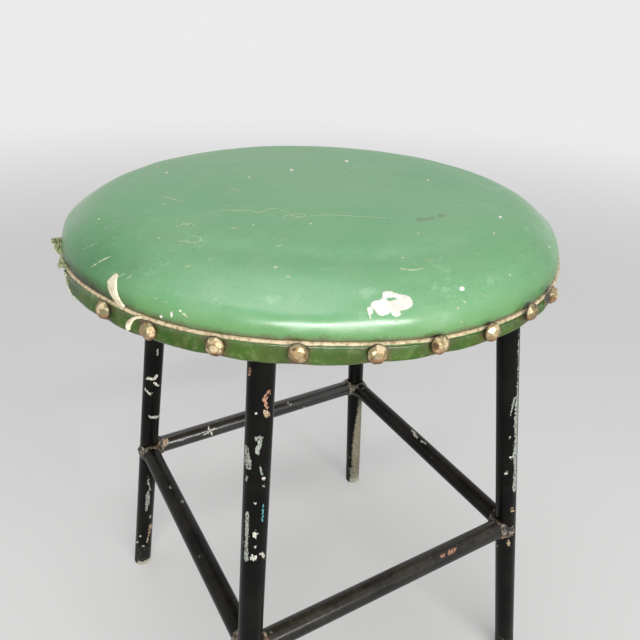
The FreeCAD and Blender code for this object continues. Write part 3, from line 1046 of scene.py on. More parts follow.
def curve(before, start, end, after, steps):
    """Points from start on towards end, on a smooth line through all four."""
    for step in range(steps):
        t = step / steps
        yield 0.5 * (
            2 * start + (end - before) * t + (2 * before - 5 * start + 4 * end - after) * t * t
            + (3 * start - before - 3 * end + after) * t ** 3
        )


def rough_outline(corners, rng, wobble):
    """A smooth closed line through corner points, roughened a little."""
    line = []
    for index in range(len(corners)):
        ends = [Vector(corners[(index + step) % len(corners)]) for step in (-1, 0, 1, 2)]
        for spot in curve(*ends, max(2, int((ends[2] - ends[1]).length / 0.7))):
            line.append((spot.x + rng.uniform(-wobble, wobble), spot.y + rng.uniform(-wobble, wobble)))
    return line


def smooth_path(corners, step_px):
    """A smooth open line through pixels."""
    stops = [Vector(spot) for spot in (corners[0], *corners, corners[-1])]
    line = []
    for index in range(len(corners) - 1):
        ends = stops[index:index + 4]
        line += curve(*ends, max(1, int((ends[2] - ends[1]).length / step_px)))
    return line + [stops[-1]]


def depth_inside(xs, ys, outline):
    """Distance in pixels of points within a closed outline, less than 0 outside it."""
    nearest_edge = np.full(xs.shape, 1e9)
    odd = np.zeros(xs.shape, bool)
    for (ax, ay), (bx, by) in zip(outline, outline[1:] + outline[:1]):
        dx, dy = bx - ax, by - ay
        share = np.clip(((xs - ax) * dx + (ys - ay) * dy) / max(1e-9, dx * dx + dy * dy), 0, 1)
        nearest_edge = np.minimum(nearest_edge, np.hypot(xs - ax - share * dx, ys - ay - share * dy))
        if ay != by:
            odd ^= ((ay > ys) != (by > ys)) & (xs < dx * (ys - ay) / dy + ax)
    return np.where(odd, nearest_edge, -nearest_edge)


def grid_over(outline, margin, step):
    """Columns and rows of a grid over an outline of pixels."""
    low = np.min(outline, axis=0) - margin
    high = np.max(outline, axis=0) + margin
    return [np.arange(first, last, step) for first, last in zip(low, high)]


def triangles(loops, fill_x, fill_y):
    """Flat spots and faces that fill the first loop and leave out the others."""
    spots = [Vector(spot) for loop in loops for spot in loop]
    edges = []
    for loop in loops:
        start = len(edges)
        edges += [(start + index, start + (index + 1) % len(loop)) for index in range(len(loop))]
    spots += [Vector(spot) for spot in zip(fill_x, fill_y)]
    made = geometry.delaunay_2d_cdt(spots, edges, [], 0, 1e-5)
    flat = np.array(made[0])
    middles = np.array([flat[list(face)].mean(axis=0) for face in made[2]])
    wanted = depth_inside(*middles.T, loops[0]) > 0
    for hole in loops[1:]:
        wanted &= depth_inside(*middles.T, hole) < 0
    return flat, [tuple(face) for face, kept in zip(made[2], wanted) if kept]


def only_used(points, faces):
    """The faces with just the points that they use."""
    used = sorted({index for face in faces for index in face})
    number = {old: new for new, old in enumerate(used)}
    return [points[old] for old in used], [tuple(number[index] for index in face) for face in faces]


def blot(tree, corners, rng, lift_mm, dome_mm, wobble, hole=None):
    """Points and faces of a film that covers an outline of pixels on a surface."""
    step = 0.55
    longest = 6 * MM
    loops = [rough_outline(line, rng, wobble) for line in (corners, hole) if line]
    columns, rows = np.meshgrid(*grid_over(loops[0], 0.0, step), indexing="ij")
    clear = abs(depth_inside(columns, rows, loops[0])) > 0.35 * step
    flat, faces = triangles(loops, columns[clear], rows[clear])
    from_edge = np.min([abs(depth_inside(*flat.T, loop)) for loop in loops], axis=0)
    points = []
    for (x, y), edge in zip(flat, from_edge):
        found = seen_at(tree, x, y)
        height = lift_mm + dome_mm * min(1.0, edge / 1.2) ** 0.6
        points.append(found and found[0] + found[1] * (height * MM))
    kept = []
    for face in faces:
        places = [points[index] for index in face]
        if None not in places and max((a - b).length for a in places for b in places) <= longest:
            kept.append(face)
    return only_used(points, kept)


def flakes(tree, corners, rng, broken, locate=lambda x, y: (x, y)):
    """Points and faces of a chip that is broken up into flakes, with specks round it."""
    lift = 0.09 * MM
    cell = 0.3
    wobble = 0.08
    longest = 4 * MM
    outline = rough_outline(corners, rng, 0.1)
    xs, ys = grid_over(outline, 1.5, cell)
    depth = depth_inside(*np.meshgrid(xs, ys, indexing="ij"), outline)
    shift = rng.uniform(0, 50)
    index_of = {}
    points = []
    faces = []

    def corner(i, j):
        if (i, j) not in index_of:
            x = xs[0] + (i - 0.5) * cell + rng.uniform(-wobble, wobble)
            y = ys[0] + (j - 0.5) * cell + rng.uniform(-wobble, wobble)
            found = seen_at(tree, *locate(x, y))
            index_of[i, j] = len(points) if found else None
            if found:
                points.append(found[0] + found[1] * lift)
        return index_of[i, j]

    for i, j in zip(*np.nonzero(depth >= -1.2)):
        lump = noise.noise(Vector((xs[i] / 1.3, ys[j] / 1.9, shift)))
        lump += 0.5 * noise.noise(Vector((xs[i] / 0.5, ys[j] / 0.7, shift + 9)))
        if min(0.8, depth[i, j]) * 0.75 + lump > broken:
            face = (corner(i, j), corner(i + 1, j), corner(i + 1, j + 1), corner(i, j + 1))
            if None not in face and (points[face[0]] - points[face[2]]).length < longest:
                faces.append(face)
    return only_used(points, faces)


def scratch(tree, corners, rng, width_mm, lift_mm, jitter=0.12):
    """Points and faces of a thin strip along pixels on a surface, with ragged sides and gaps."""
    breaks = -0.50
    spots = []
    for place in smooth_path(corners, 0.6):
        found = seen_at(tree, place.x + rng.uniform(-jitter, jitter), place.y + rng.uniform(-jitter, jitter))
        if found:
            spots.append(found)
    last = len(spots) - 1
    if last < 2:
        return [], []
    points = []
    for index, (place, normal) in enumerate(spots):
        along = (spots[min(last, index + 1)][0] - spots[max(0, index - 1)][0]).normalized()
        side = normal.cross(along)
        taper = 0.25 + 0.75 * sin(pi * (index / last)) ** 0.5
        width = width_mm * MM * taper * rng.uniform(0.35, 1.3)
        lifted = place + normal * lift_mm * MM
        points += [lifted + side * width / 2, lifted - side * width / 2]
    shift = rng.uniform(0, 90)
    faces = []
    for index in range(last):
        if noise.noise(Vector((index * 0.31, shift, 0.0))) + 0.4 * rng.uniform(-1, 1) > breaks:
            low = 2 * index
            faces.append((low, low + 1, low + 3, low + 2))
    return only_used(points, faces)


def gather(name, parts, look):
    """One piece from many small lists of points and faces."""
    points = []
    faces = []
    for part_points, part_faces in parts:
        start = len(points)
        points += part_points
        faces += [tuple(start + index for index in face) for face in part_faces]
    if faces:
        piece = new_piece(name, points, faces, look)
        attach(piece, "root")


def round_spot(x, y, wide, high, count=8):
    turns = [2 * pi * i / count for i in range(count)]
    return [(x + wide * cos(turn), y + high * sin(turn)) for turn in turns]


# Marks on the seat, in pixels of the photograph

paint_body_px = [
    (383, 292), (390, 291.2), (398, 293.5), (407, 295.4), (412, 300), (412.6, 305), (409, 308.4),
    (404, 310.2), (400.3, 311), (400.6, 315), (396.5, 317), (392, 315), (390.6, 312.2), (387, 314.6),
    (381, 315.8), (377, 313.6), (374.6, 310.4), (371, 307), (371.2, 303), (375, 300.4), (379.8, 299.6),
    (382, 296.4),
]
paint_hole_px = [
    (386.6, 298.6), (390.4, 297.6), (395.6, 298), (396.8, 299.4), (393, 299.8), (390, 300.8), (387.4, 300.2),
]
paint_drop_px = [
    (367, 308), (370, 306.6), (372.6, 309.6), (373, 313), (370.4, 315), (371.4, 318.4), (370, 318),
    (367.4, 311.6),
]
paint_dots_px = [
    ((462, 288.6), 2.7, 2.2), ((161, 316.6), 1.5, 1.5), ((171.4, 314.4), 1.3, 3.0), ((180, 310.6), 1.2, 1.0),
    ((291.7, 170), 2.0, 1.2), ((500.5, 217), 1.8, 1.1), ((346.7, 161.2), 2.1, 1.1),
]
pale_dots_px = [
    ((428, 180.2), 1.4, 1.0), ((494.2, 233.4), 1.2, 1.0), ((549.4, 246.8), 1.1, 1.1), ((510, 275), 1.1, 1.0),
    ((418, 233.2), 1.2, 0.9), ((403, 258), 1.2, 0.9), ((249, 177), 1.2, 0.8), ((158, 166.8), 1.3, 0.8),
    ((98.7, 219), 1.2, 0.9), ((159, 238), 1.1, 1.0), ((310.5, 223.7), 1.3, 0.8), ((275.7, 267.2), 2.0, 1.4),
    ((288.4, 276.7), 2.3, 1.1), ((163.6, 203.8), 1.0, 0.9), ((253.7, 225), 1.3, 0.8),
    ((166.7, 172.6), 1.9, 1.0),
]
pale_scratches_px = [
    (
        [
            (210, 211.5), (224, 210.8), (237.5, 210.2), (250, 210.6), (257.5, 213), (267.5, 209.6),
            (275, 208.8), (286, 211.2),
        ],
        1.0,
    ),
    ([(222, 208.2), (236, 211.6), (247, 212.4)], 0.7),
    ([(282.5, 217), (289, 214.8), (296, 216.4), (305, 216.2)], 0.8),
    ([(287, 212.6), (296, 213.8), (305, 214.4), (302, 217.4), (294, 217.6)], 0.7),
    ([(305, 216.6), (325, 215), (345, 215.7), (362.5, 216.8), (380, 217.6), (392.5, 218)], 0.8),
    ([(160, 196.2), (172, 198.8), (183.8, 202)], 1.0),
    ([(145, 192.6), (152, 190.8), (156, 190)], 0.8),
    ([(222, 189.4), (232, 189), (242.5, 192.4)], 0.9),
    ([(175, 226), (180, 226), (184, 223.4), (188, 224.8), (190, 223.2), (195, 225.6)], 1.0),
    (
        [
            (185.4, 239.6), (189, 236.8), (195, 236.2), (200.6, 238), (200.2, 241), (195, 243), (189, 242.6),
            (185.4, 239.6),
        ],
        0.75,
    ),
    ([(176.5, 241.2), (184, 241.4), (189, 240.2)], 0.7),
    ([(91.2, 267), (101, 261.4), (111.7, 256)], 1.1),
    ([(97.5, 262.5), (104, 259), (108.7, 256.6)], 0.8),
    ([(117.5, 277.5), (121, 275.6), (125, 273.6)], 0.8),
    ([(126, 279), (129, 277.4), (132, 275)], 0.8),
    ([(82.5, 250), (89, 247), (95, 243.7)], 0.8),
    ([(230, 228.8), (234, 228), (237.5, 228.6)], 1.0),
    ([(275, 246.4), (279, 246), (282.5, 244.8)], 1.0),
    ([(185, 266.6), (190, 266), (192, 264.8)], 0.9),
    ([(280, 156.4), (284, 155.6), (287.5, 155.6)], 0.9),
    ([(400, 268.6), (407, 269.8), (415, 270), (423.7, 268)], 1.1),
    ([(180, 310.8), (184, 314), (187.6, 317.6)], 1.3),
    ([(348.7, 175), (352, 175.6), (356, 176.8)], 0.9),
    ([(455, 205), (459, 205), (463.7, 205.8)], 0.9),
    ([(462.5, 300), (464, 301.6), (466, 303.7)], 0.9),
]
faint_dots_px = [
    ((435.5, 283), 1.0, 0.8), ((448, 296.2), 1.1, 1.0), ((458, 308), 1.5, 1.8), ((461, 322), 1.1, 0.9),
]
faint_scratches_px = [
    ([(375, 187), (392.5, 187.6), (405, 187.4), (422.5, 185.6), (434, 183.6), (445, 182.4)], 0.9),
    ([(382.5, 181.2), (392.5, 176.4), (402, 174.4), (412.5, 174.6), (424, 176), (430, 178.7)], 0.9),
    ([(383, 181.4), (384, 184.6), (396, 186.6)], 0.7),
    ([(404, 180.2), (414, 178.2), (424, 178.8)], 0.8),
    ([(156, 190), (162, 188.4), (168, 187)], 0.8),
    ([(210, 190), (218, 189.4), (222, 189.4)], 0.8),
    ([(214, 187.6), (226, 190.4), (236, 191.8)], 0.7),
    ([(198.7, 178.7), (203, 180), (207.5, 180)], 0.9),
    ([(110, 238), (114, 237.6), (118.7, 237)], 1.2),
    ([(301, 187.6), (309, 187), (317.5, 187)], 0.9),
    ([(330, 167.2), (341, 167), (352.5, 167.6)], 0.8),
    ([(470, 253.8), (476, 254), (481, 255)], 1.0),
    ([(476, 216.2), (486, 217.6), (495, 218.6)], 0.9),
    ([(481, 293.7), (485, 296), (488.7, 298.7)], 1.0),
    ([(396, 316.4), (397, 323.6)], 0.9),
    ([(152, 297), (155, 298.4), (158, 299)], 0.8),
    ([(163, 301.2), (166, 302), (168, 302.2)], 0.7),
    ([(276, 233), (284, 234), (290, 233.4)], 1.1),
    ([(280, 240), (283, 239.4), (288, 237.8)], 1.0),
    ([(222, 205.4), (236, 204.6), (244, 206.2)], 0.7),
    ([(425, 259), (430, 260.2), (436, 260.6)], 1.2),
    ([(427, 261.4), (431, 262), (434, 261.6)], 0.9),
]
smudges_px = [
    [
        (415.6, 219.6), (419, 217.4), (425, 218.6), (430, 217), (436, 216.4), (434, 218.6), (428, 220.2),
        (420, 221.2),
    ],
    [(437.6, 215.6), (441, 213.6), (445, 214.6), (443, 217), (439, 217.8)],
]


def mark_seat(cushion):
    rng = random.Random(3)
    tree = tree_of(cushion)
    paint = [blot(tree, paint_body_px, rng, 0.10, 0.55, 0.3, paint_hole_px)]
    paint.append(blot(tree, paint_drop_px, rng, 0.10, 0.4, 0.2))
    paint += [blot(tree, round_spot(*spot, *size), rng, 0.08, 0.3, 0.15) for spot, *size in paint_dots_px]
    gather("paint_spots", paint, white_paint)
    specks = [blot(tree, round_spot(*spot, *size, 6), rng, 0.07, 0.05, 0.2) for spot, *size in pale_dots_px]
    specks += [scratch(tree, line, rng, width, 0.08) for line, width in pale_scratches_px]
    gather("seat_scratches", specks, pale_scratch)
    faint = [scratch(tree, line, rng, width, 0.07, jitter=0.25) for line, width in faint_scratches_px]
    faint += [blot(tree, round_spot(*spot, *size, 6), rng, 0.07, 0.03, 0.3) for spot, *size in faint_dots_px]
    gather("seat_scuffs", faint, faint_scratch)
    smudges = [blot(tree, line, rng, 0.06, 0.0, 0.5) for line in smudges_px]
    gather("seat_smudges", smudges, brown_smudge)


# Torn and frayed places, in pixels of the photograph

tear_px = [
    (115.6, 273.4), (112.4, 276.6), (109, 279.6), (107.8, 283), (109, 290), (112.6, 297.6), (118, 304.4),
    (122.6, 307.4), (125.2, 306), (121.4, 300.4), (118, 292), (117.4, 285), (117.8, 278), (118.6, 274.6),
]
curl_px = [(142, 317.4), (136.4, 317.6), (131.6, 320), (128.6, 324.2), (127.9, 328.0), (129.0, 330.2)]
flap_px = [
    (66, 236.4), (61, 237.2), (56, 237.8), (51.8, 238.6), (51.2, 240.6), (53, 244), (54.8, 248.4),
    (57.2, 252.6), (59.8, 254.6), (60.4, 257.4), (58.8, 261.6), (57.8, 265.4), (58.4, 268.4), (61.6, 267.4),
    (64.2, 268.6), (67, 269.6), (68, 262), (67, 250),
]
fray_roots_px = [
    ((52, 239.6), (53.4, 243.4), 10), ((53.6, 244), (58, 252.4), 26), ((60.8, 256), (58.2, 267), 18),
    ((62, 266), (65, 262), 12), ((65.4, 270.6), (67.4, 280), 22), ((67.4, 280), (71, 294), 34),
    ((71, 294), (75, 299), 16),
]


def strand(place, direction, length_mm, bend, width_mm):
    """A thin ribbon thread that curves away from its root."""
    side = direction.cross(bend).normalized()
    points = []
    count = 7
    for step in range(count):
        share = step / (count - 1)
        spot = place + (direction * share + bend * share * share) * length_mm * MM
        half = side * width_mm * MM / 2 * (1.1 - share)
        points += [spot + half, spot - half]
    faces = [(2 * i, 2 * i + 1, 2 * i + 3, 2 * i + 2) for i in range(count - 1)]
    return points, faces


def make_torn_places(cushion, welt, band):
    rng = random.Random(8)
    seat = tree_of(cushion)
    gather("torn_strip", [blot(seat, tear_px, rng, 0.25, 0.9, 0.15)], torn_cream)
    gather("curled_strip", [make_curl(tree_of(welt, band))], torn_cream)
    gather("torn_flap", [make_flap(seat, rng)], flap_vinyl)
    threads = []
    everything = tree_of(cushion, welt, band, bpy.data.objects["torn_flap"])
    for first, last, count in fray_roots_px:
        for _ in range(count):
            share = rng.random()
            spot = [start + (end - start) * share for start, end in zip(first, last)]
            found = first_seen(everything, *spot, 0.6, 12)
            if not found:
                continue
            sideways = eye_right * rng.uniform(-0.8, 0.35)
            down = eye_up * rng.uniform(-0.3, 1.0)
            direction = (sideways - down - eye_forward * rng.uniform(0.0, 0.5)).normalized()
            bend = Vector((rng.uniform(-0.6, 0.6), rng.uniform(-0.6, 0.6), rng.uniform(-0.9, 0.3)))
            root = found[0] - eye_forward * 0.3 * MM
            threads.append(strand(root, direction, rng.uniform(0.6, 1.9), bend, rng.uniform(0.35, 0.9)))
    gather("frayed_threads", threads, fray_thread)


def make_curl(edge):
    """A strip of torn vinyl, half a millimetre thick, that curls away from the seat's edge."""
    path = [spot for spot in smooth_path(curl_px, 1.0) if seen_at(edge, *spot)]
    depths = [(seen_at(edge, *spot)[0] - eye).dot(eye_forward) for spot in path]
    last = len(path) - 1
    back = eye_forward * 0.5 * MM
    points = []
    for index, spot in enumerate(path):
        near = depths[max(0, index - 4):index + 5]
        stand = 1.4 + 1.4 * sin(pi * min(1.0, index / 16))
        depth = sum(near) / len(near) - stand * MM
        ahead = path[min(last, index + 2)] - path[max(0, index - 2)]
        across = (eye_up * ahead.x + eye_right * ahead.y).normalized() * (0.8 + 0.9 * bell(index - 15, 6.0))
        ray = pixel_ray(*spot)
        base = eye + ray * (depth / ray.dot(eye_forward))
        front = [base + across * MM, base - eye_forward * 0.35 * MM, base - across * MM]
        points += front + [place + back for place in reversed(front)]
    end = 6 * last
    first_caps = [(0, 5, 4, 1), (1, 4, 3, 2)]
    last_caps = [(end, end + 1, end + 4, end + 5), (end + 1, end + 2, end + 3, end + 4)]
    return points, ring_faces(6, len(path)) + first_caps + last_caps


def make_flap(seat, rng):
    """A crumpled scrap of the torn band that stands off the seat's edge, a millimetre thick."""
    outline = rough_outline(flap_px, rng, 0.25)
    step = 0.9
    usual_depth = 0.67
    stand = 4.0
    columns, rows = np.meshgrid(np.arange(51, 69, step), np.arange(237, 270, step), indexing="ij")
    clear = depth_inside(columns, rows, outline) > 0.3
    spots, fronts = only_used(*triangles([outline], columns[clear], rows[clear]))
    points = []
    for thickness in (0.0, 1.0):
        for x, y in spots:
            anchor = first_seen(seat, x, y, 0.5, 40)
            depth = (anchor[0] - eye).dot(eye_forward) if anchor else usual_depth
            crumple = 1.6 * soft_noise((x, y, 0), 3.2, 4.0) + 0.8 * soft_noise((x, y, 5), 1.3, 4.0)
            ray = pixel_ray(x, y)
            points.append(eye + ray * ((depth + (stand + crumple + thickness) * MM) / ray.dot(eye_forward)))
    count = len(spots)
    backs = [tuple(index + count for index in face)[::-1] for face in fronts]
    edges = dict.fromkeys(pair for face in fronts for pair in zip(face, face[1:] + face[:1]))
    sides = [(a, b, b + count, a + count)[::-1] for a, b in edges if (b, a) not in edges]
    return points, fronts + backs + sides


# Chips on the legs. Each leg's edges in the photograph are given at two rows, so that a chip keeps its place
# across the tube.

leg_views = {
    "front_left": ((400, 243.6, 271.8), (550, 244.5, 271.3)),
    "front_right": ((360, 492.7, 515.5), (540, 498.3, 518.2)),
    "back_left": ((348, 138.2, 157.5), (550, 140.0, 154.6)),
    "back_right": ((370, 346.5, 361.0), (478, 350.0, 361.0)),
}
leg_corners = {"front_left": (-1, -1), "front_right": (1, -1), "back_right": (1, 1), "back_left": (-1, 1)}
chips_px = {
    "front_left": {
        "orange_chip": [
            [
                (264, 391), (267.6, 391), (266.4, 396), (264.8, 401), (266.8, 405), (266, 408.8),
                (263, 407.4), (261.4, 403), (259.2, 399.2), (261, 397),
            ],
            [(245.2, 368), (247.6, 368.6), (247.2, 376), (245.2, 375)],
            [(272.2, 364), (274.8, 364.6), (274, 370), (272, 369)],
        ],
        "tan_chip": [[(261.4, 410), (266.4, 410), (268, 415), (265, 417.6), (262, 415.4)]],
        "pale_chip": [
            [(252.6, 412.6), (255.4, 412), (256, 413.8), (253.4, 414.4)],
            [(262.6, 477.6), (265.2, 477.4), (266, 479.6), (263, 479.8)],
            [(264, 485), (266, 485), (266, 486.6), (264, 486.6)],
            [(256.4, 502.6), (258.4, 502.6), (258, 504), (256.6, 504)],
            [
                (256.6, 533), (258.6, 530.6), (259.6, 532.6), (261.6, 533.4), (260.4, 536), (259.6, 538.6),
                (257.4, 537.4), (255.6, 535.4),
            ],
            [(258.4, 546), (260.4, 546), (260.2, 548), (258.6, 548)],
            [(254.6, 556), (257, 553.6), (258.4, 557), (260.8, 555), (261, 560), (255, 560)],
            [(264, 554), (267, 552), (269.4, 556), (268.6, 559.4), (266, 555.6)],
        ],
        "grey_chip": [
            [
                (254, 437.4), (261, 436.6), (262, 441), (260.4, 448), (258.6, 454.8), (255.4, 453.4),
                (255.2, 447.4), (257.4, 443), (256.6, 440.6), (254.2, 440.4),
            ],
            [
                (244, 446), (248, 446.8), (249.6, 454), (252, 464), (250.6, 470), (247, 468), (245, 463),
                (244, 460),
            ],
            [(246.6, 475), (249, 476.6), (248.4, 482), (246.4, 480)],
            [
                (248, 513), (251, 513), (252, 525), (252, 546), (253, 560), (248.4, 560), (248.4, 544),
                (248, 527),
            ],
            [(259.6, 464), (261.4, 466), (262.6, 471), (264.4, 475), (262.6, 475.6), (260.6, 470.6)],
        ],
        "cyan_chip": [
            [(264.6, 506), (266.2, 506), (266.4, 521), (264.6, 521)],
            [(261.4, 470), (262.8, 471), (263.4, 475), (262, 474)],
        ],
    },
    "back_left": {
        "pale_chip": [
            [
                (140.6, 378.4), (144, 376.8), (148, 377.6), (150.6, 375.6), (153, 374.6), (152.4, 377.8),
                (148.6, 380.2), (144, 379.6),
            ],
            [(149, 382), (151, 382.4), (153.6, 384), (155, 385.4), (152, 386.2), (149.4, 384.2)],
            [
                (141, 388), (143.4, 390.6), (146, 392.6), (149, 392.8), (147.6, 395.4), (145, 395),
                (142, 391.6),
            ],
            [
                (145.4, 415), (149, 416.2), (154, 415.6), (157.4, 412.6), (157, 416), (153, 418.6),
                (148, 418.4),
            ],
            [
                (146.4, 546), (148.6, 545.6), (149.4, 548), (148, 550), (150.4, 552.6), (149, 555.6),
                (146.4, 553.6), (145, 550),
            ],
            [(143.6, 535), (145.2, 535), (145.2, 537), (143.6, 537)],
            [(140.8, 541), (142.4, 541), (142.4, 543), (140.8, 543)],
        ],
        "grey_chip": [
            [(147.6, 478), (149, 478.4), (151.6, 488), (150.8, 491), (149, 487)],
            [(147.2, 495), (150.4, 490.4), (151.4, 499), (150, 508), (148.6, 512), (147.2, 506)],
            [(150.6, 349), (152, 349), (152.2, 356), (150.8, 356)],
            [(152, 515), (153.4, 516), (153, 519), (151.6, 518)],
        ],
        "tan_chip": [
            [
                (153.2, 523), (154.4, 527), (153, 534), (151.6, 541), (150, 543), (149.4, 540), (151.2, 534),
                (151.4, 527),
            ],
        ],
    },
    "front_right": {
        "grey_chip": [
            [
                (513.6, 398), (516.2, 398), (517.2, 430), (517.8, 470), (517.6, 490), (513.8, 490),
                (514.4, 470), (512.6, 455), (513.8, 440), (512.8, 420),
            ],
            [(514.0, 338), (515.4, 338), (516, 370), (516.4, 398), (514.6, 398), (514.4, 370)],
            [(511, 399), (513.8, 397), (512, 404), (509.6, 414), (508.2, 418), (509.4, 409)],
        ],
        "pale_chip": [
            [(504.4, 473.4), (506.4, 471.6), (508.8, 470.8), (508.6, 473), (506.6, 474.8)],
            [(508.8, 436), (510.2, 436), (510.2, 438), (508.8, 438)],
            [(509.8, 456.6), (511.4, 457), (511.2, 459), (509.8, 458.6)],
        ],
        "tan_chip": [
            [(512.6, 508), (515.4, 507.6), (516, 511.6), (513.4, 512.6)],
            [(510, 540), (512, 539.4), (513.4, 543), (511.8, 546.6), (510, 544)],
        ],
    },
}
tube_chips_px = {
    "pale_chip": [
        [(204, 433.6), (209, 430.8), (214.6, 427.6), (215, 428.6), (210, 432.2), (205, 434.8)],
        [(208.6, 426.4), (210.6, 429.4), (212.4, 434.6), (211.2, 434.8), (209.2, 430.6), (207.8, 427)],
        [(411.6, 430.4), (414, 431.6), (417.4, 435.4), (418.6, 438.6), (416, 438.2), (413.4, 435)],
        [(420.6, 440.2), (423, 440.8), (426.2, 443.6), (424.4, 444), (421.6, 442.4)],
    ],
    "grey_chip": [
        [(196, 434.6), (198.4, 434), (199.4, 435), (197, 435.8)],
        [(178, 440.6), (184, 438.4), (186, 439), (180, 441.4)],
        [(168.6, 486.4), (170.4, 486), (171.6, 488.6), (170, 489)],
        [(180.6, 500.6), (182.6, 500.2), (183.6, 502.4), (181.6, 502.8)],
        [(289, 404.4), (291.4, 403.6), (292, 405), (290, 405.6)],
    ],
    "tan_chip": [
        [
            (158.4, 440.6), (164, 438.8), (168, 438.2), (169, 441), (166.4, 445.6), (163, 448), (159.6, 450),
            (157, 446),
        ],
        [(348, 378.6), (353, 376.4), (358.4, 377.4), (361, 381), (356, 381.8), (350.4, 382)],
    ],
    "orange_chip": [
        [(447.4, 551.6), (451, 549), (455.8, 547.6), (456.6, 550.4), (453, 553), (449, 555.4)],
        [(440, 556), (444.4, 553.6), (445.4, 555.4), (441.6, 558.4)],
    ],
}
chip_breaks = {"grey_chip": 0.2, "pale_chip": 0.14, "tan_chip": 0.3, "orange_chip": 0.28, "cyan_chip": 0.24}


def leg_locator(corner):
    """Turns a photo pixel on a leg into the pixel of the same place on the modelled leg."""
    step_x, step_y = leg_corners[corner]
    outward = Vector((step_x, step_y, 0)) / math.sqrt(2)
    low = (frame_centre + outward * leg_circle_floor) * MM
    high = (frame_centre + outward * leg_circle_top + Vector((0, 0, leg_top_height))) * MM
    (row_a, left_a, right_a), (row_b, left_b, right_b) = leg_views[corner]

    def locate(x, y):
        share = (y - row_a) / (row_b - row_a)
        left = left_a + (left_b - left_a) * share
        right = right_a + (right_b - right_a) * share
        across = (x - left) / (right - left)
        below, above = 0.0, 1.0
        for _ in range(30):
            middle = (below + above) / 2
            if pixel_of(low.lerp(high, middle))[1] > y:
                below = middle
            else:
                above = middle
        spot = low.lerp(high, (below + above) / 2)
        half = leg_radius * MM * focal_px / (spot - eye).dot(eye_forward)
        return pixel_of(spot)[0] + (2 * min(0.985, max(0.015, across)) - 1) * half, y

    return locate


def mark_legs():
    rng = random.Random(21)
    for corner, kinds in chips_px.items():
        tree = tree_of(nodes["leg_" + corner])
        locate = leg_locator(corner)
        for kind, outlines in kinds.items():
            films = [flakes(tree, line, rng, chip_breaks[kind], locate) for line in outlines]
            gather(kind + "s_" + corner, films, chip_looks[kind])
    tree = tree_of(*(nodes["stretcher_" + side] for side in ("front", "right", "back", "left")))
    for kind, outlines in tube_chips_px.items():
        films = [flakes(tree, line, rng, chip_breaks[kind]) for line in outlines]
        gather(kind + "s_stretchers", films, chip_looks[kind])


# Everything in its place

def dress(node, look):
    """Puts a material on one of the frame's own pieces."""
    nodes[node].data.materials.clear()
    nodes[node].data.materials.append(look)


cushion = make_cushion()
welt = make_welt()
band = make_band()
make_nails()
mark_seat(cushion)
make_torn_places(cushion, welt, band)
for number, corner in enumerate(leg_corners):
    lumpy("stretcher_braze_" + corner, "braze_" + corner, braze_metal, 4.2, 0.9, 10.0 + number)
    lumpy("top_weld_" + corner, "weld_" + corner, black_paint, 5.0, 0.5, 20.0 + number)
    dress("leg_" + corner, worn_and_lit_paint if corner == "back_right" else black_paint)
    dress("foot_" + corner, bare_foot if corner == "back_right" else painted_foot)
for node, look in (
    ("stretcher_front", dust_and_sheen_paint), ("stretcher_right", dull_paint), ("stretcher_back", shiny_paint),
    ("stretcher_left", dull_paint), ("seat_ring", black_paint), ("ring_screws", screw_metal),
    ("cover_tacks", tack_metal), ("seat_board", plywood),
):
    dress(node, look)
mark_legs()


# Floor, lights and camera

backdrop_colour = (0.90, 0.905, 0.90, 1.0)
backdrop_strength = 0.92


def backdrop_seen(tree):
    """1 for rays that show the backdrop, and 0 for those that only carry its light."""
    path = add(tree, "LightPath")
    kinds = ("Is Camera Ray", "Is Glossy Ray", "Is Transmission Ray")
    camera, glossy, transmission = (Value(tree, path.outputs[kind]) for kind in kinds)
    return maths("MAXIMUM", maths("MAXIMUM", camera, glossy), transmission)


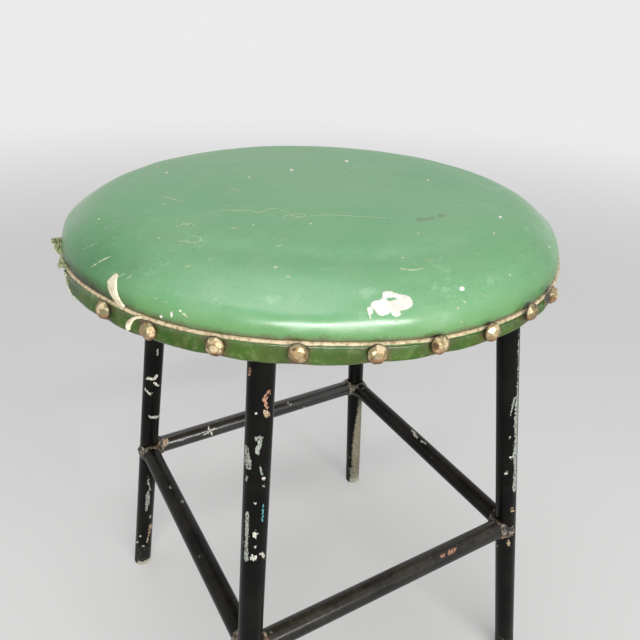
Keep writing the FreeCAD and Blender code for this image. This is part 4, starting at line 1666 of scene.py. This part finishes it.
def show_mix(tree, output, share, first, second):
    """Shows a mix of two shaders."""
    ends = {"i1": Value(tree, first.outputs[0]), "i2": Value(tree, second.outputs[0])}
    mixed = add(tree, "MixShader", Fac=share, **ends)
    tree.links.new(mixed.outputs[0], tree.nodes[output].inputs["Surface"])


def make_floor():
    """A pale floor that fades into the backdrop's colour. A camera sees it a little paler than it is lit."""
    look = Look("floor")
    paper = look.finish(blend(look.lumps(1.3, 2.0), (0.79, 0.79, 0.78), (0.81, 0.81, 0.80)), 0.9, 0.2)
    away = look.read("VectorMath", "Value", {"operation": "LENGTH"}, i0=look.place())
    share = backdrop_seen(look.tree) * (span(away, 0.35, 3.2) * 0.75 + 0.25)
    glow = add(look.tree, "Emission", Color=backdrop_colour, Strength=backdrop_strength)
    show_mix(look.tree, "Material Output", share, look.shader, glow)
    size = 6.0
    corners = [(-size, -size, 0), (size, -size, 0), (size, size, 0), (-size, size, 0)]
    floor = new_piece("floor", corners, [(0, 1, 2, 3)], paper, smooth=False)


def make_lamp(name, place, target, width, height, power):
    data = bpy.data.lights.new(name, "AREA")
    set_all(data, shape="RECTANGLE", size=width, size_y=height, energy=power)
    lamp = linked(name, data)
    lamp.location = place
    lamp.rotation_euler = (Vector(target) - Vector(place)).to_track_quat("-Z", "Y").to_euler()


def make_light():
    """A low strip in front, a broad lamp overhead and an even sky."""
    seat_height = 0.48
    seat = (0, 0, seat_height)
    make_lamp("key", polar(1.9, -104, seat_height + 0.62), seat, 2.2, 0.17, 46)
    make_lamp("top", (-0.2, 0.3, 2.6), seat, 1.8, 1.8, 20)
    scene.world = bpy.data.worlds.new("studio")
    scene.world.use_nodes = True
    tree = scene.world.node_tree
    sky = tree.nodes["Background"]
    sky.inputs["Color"].default_value = (0.88, 0.89, 0.90, 1.0)
    sky.inputs["Strength"].default_value = 0.22
    shown = add(tree, "Background", Color=backdrop_colour, Strength=backdrop_strength)
    show_mix(tree, "World Output", backdrop_seen(tree), sky, shown)


make_floor()
make_light()
make_camera()
scene.view_settings.view_transform = "Standard"
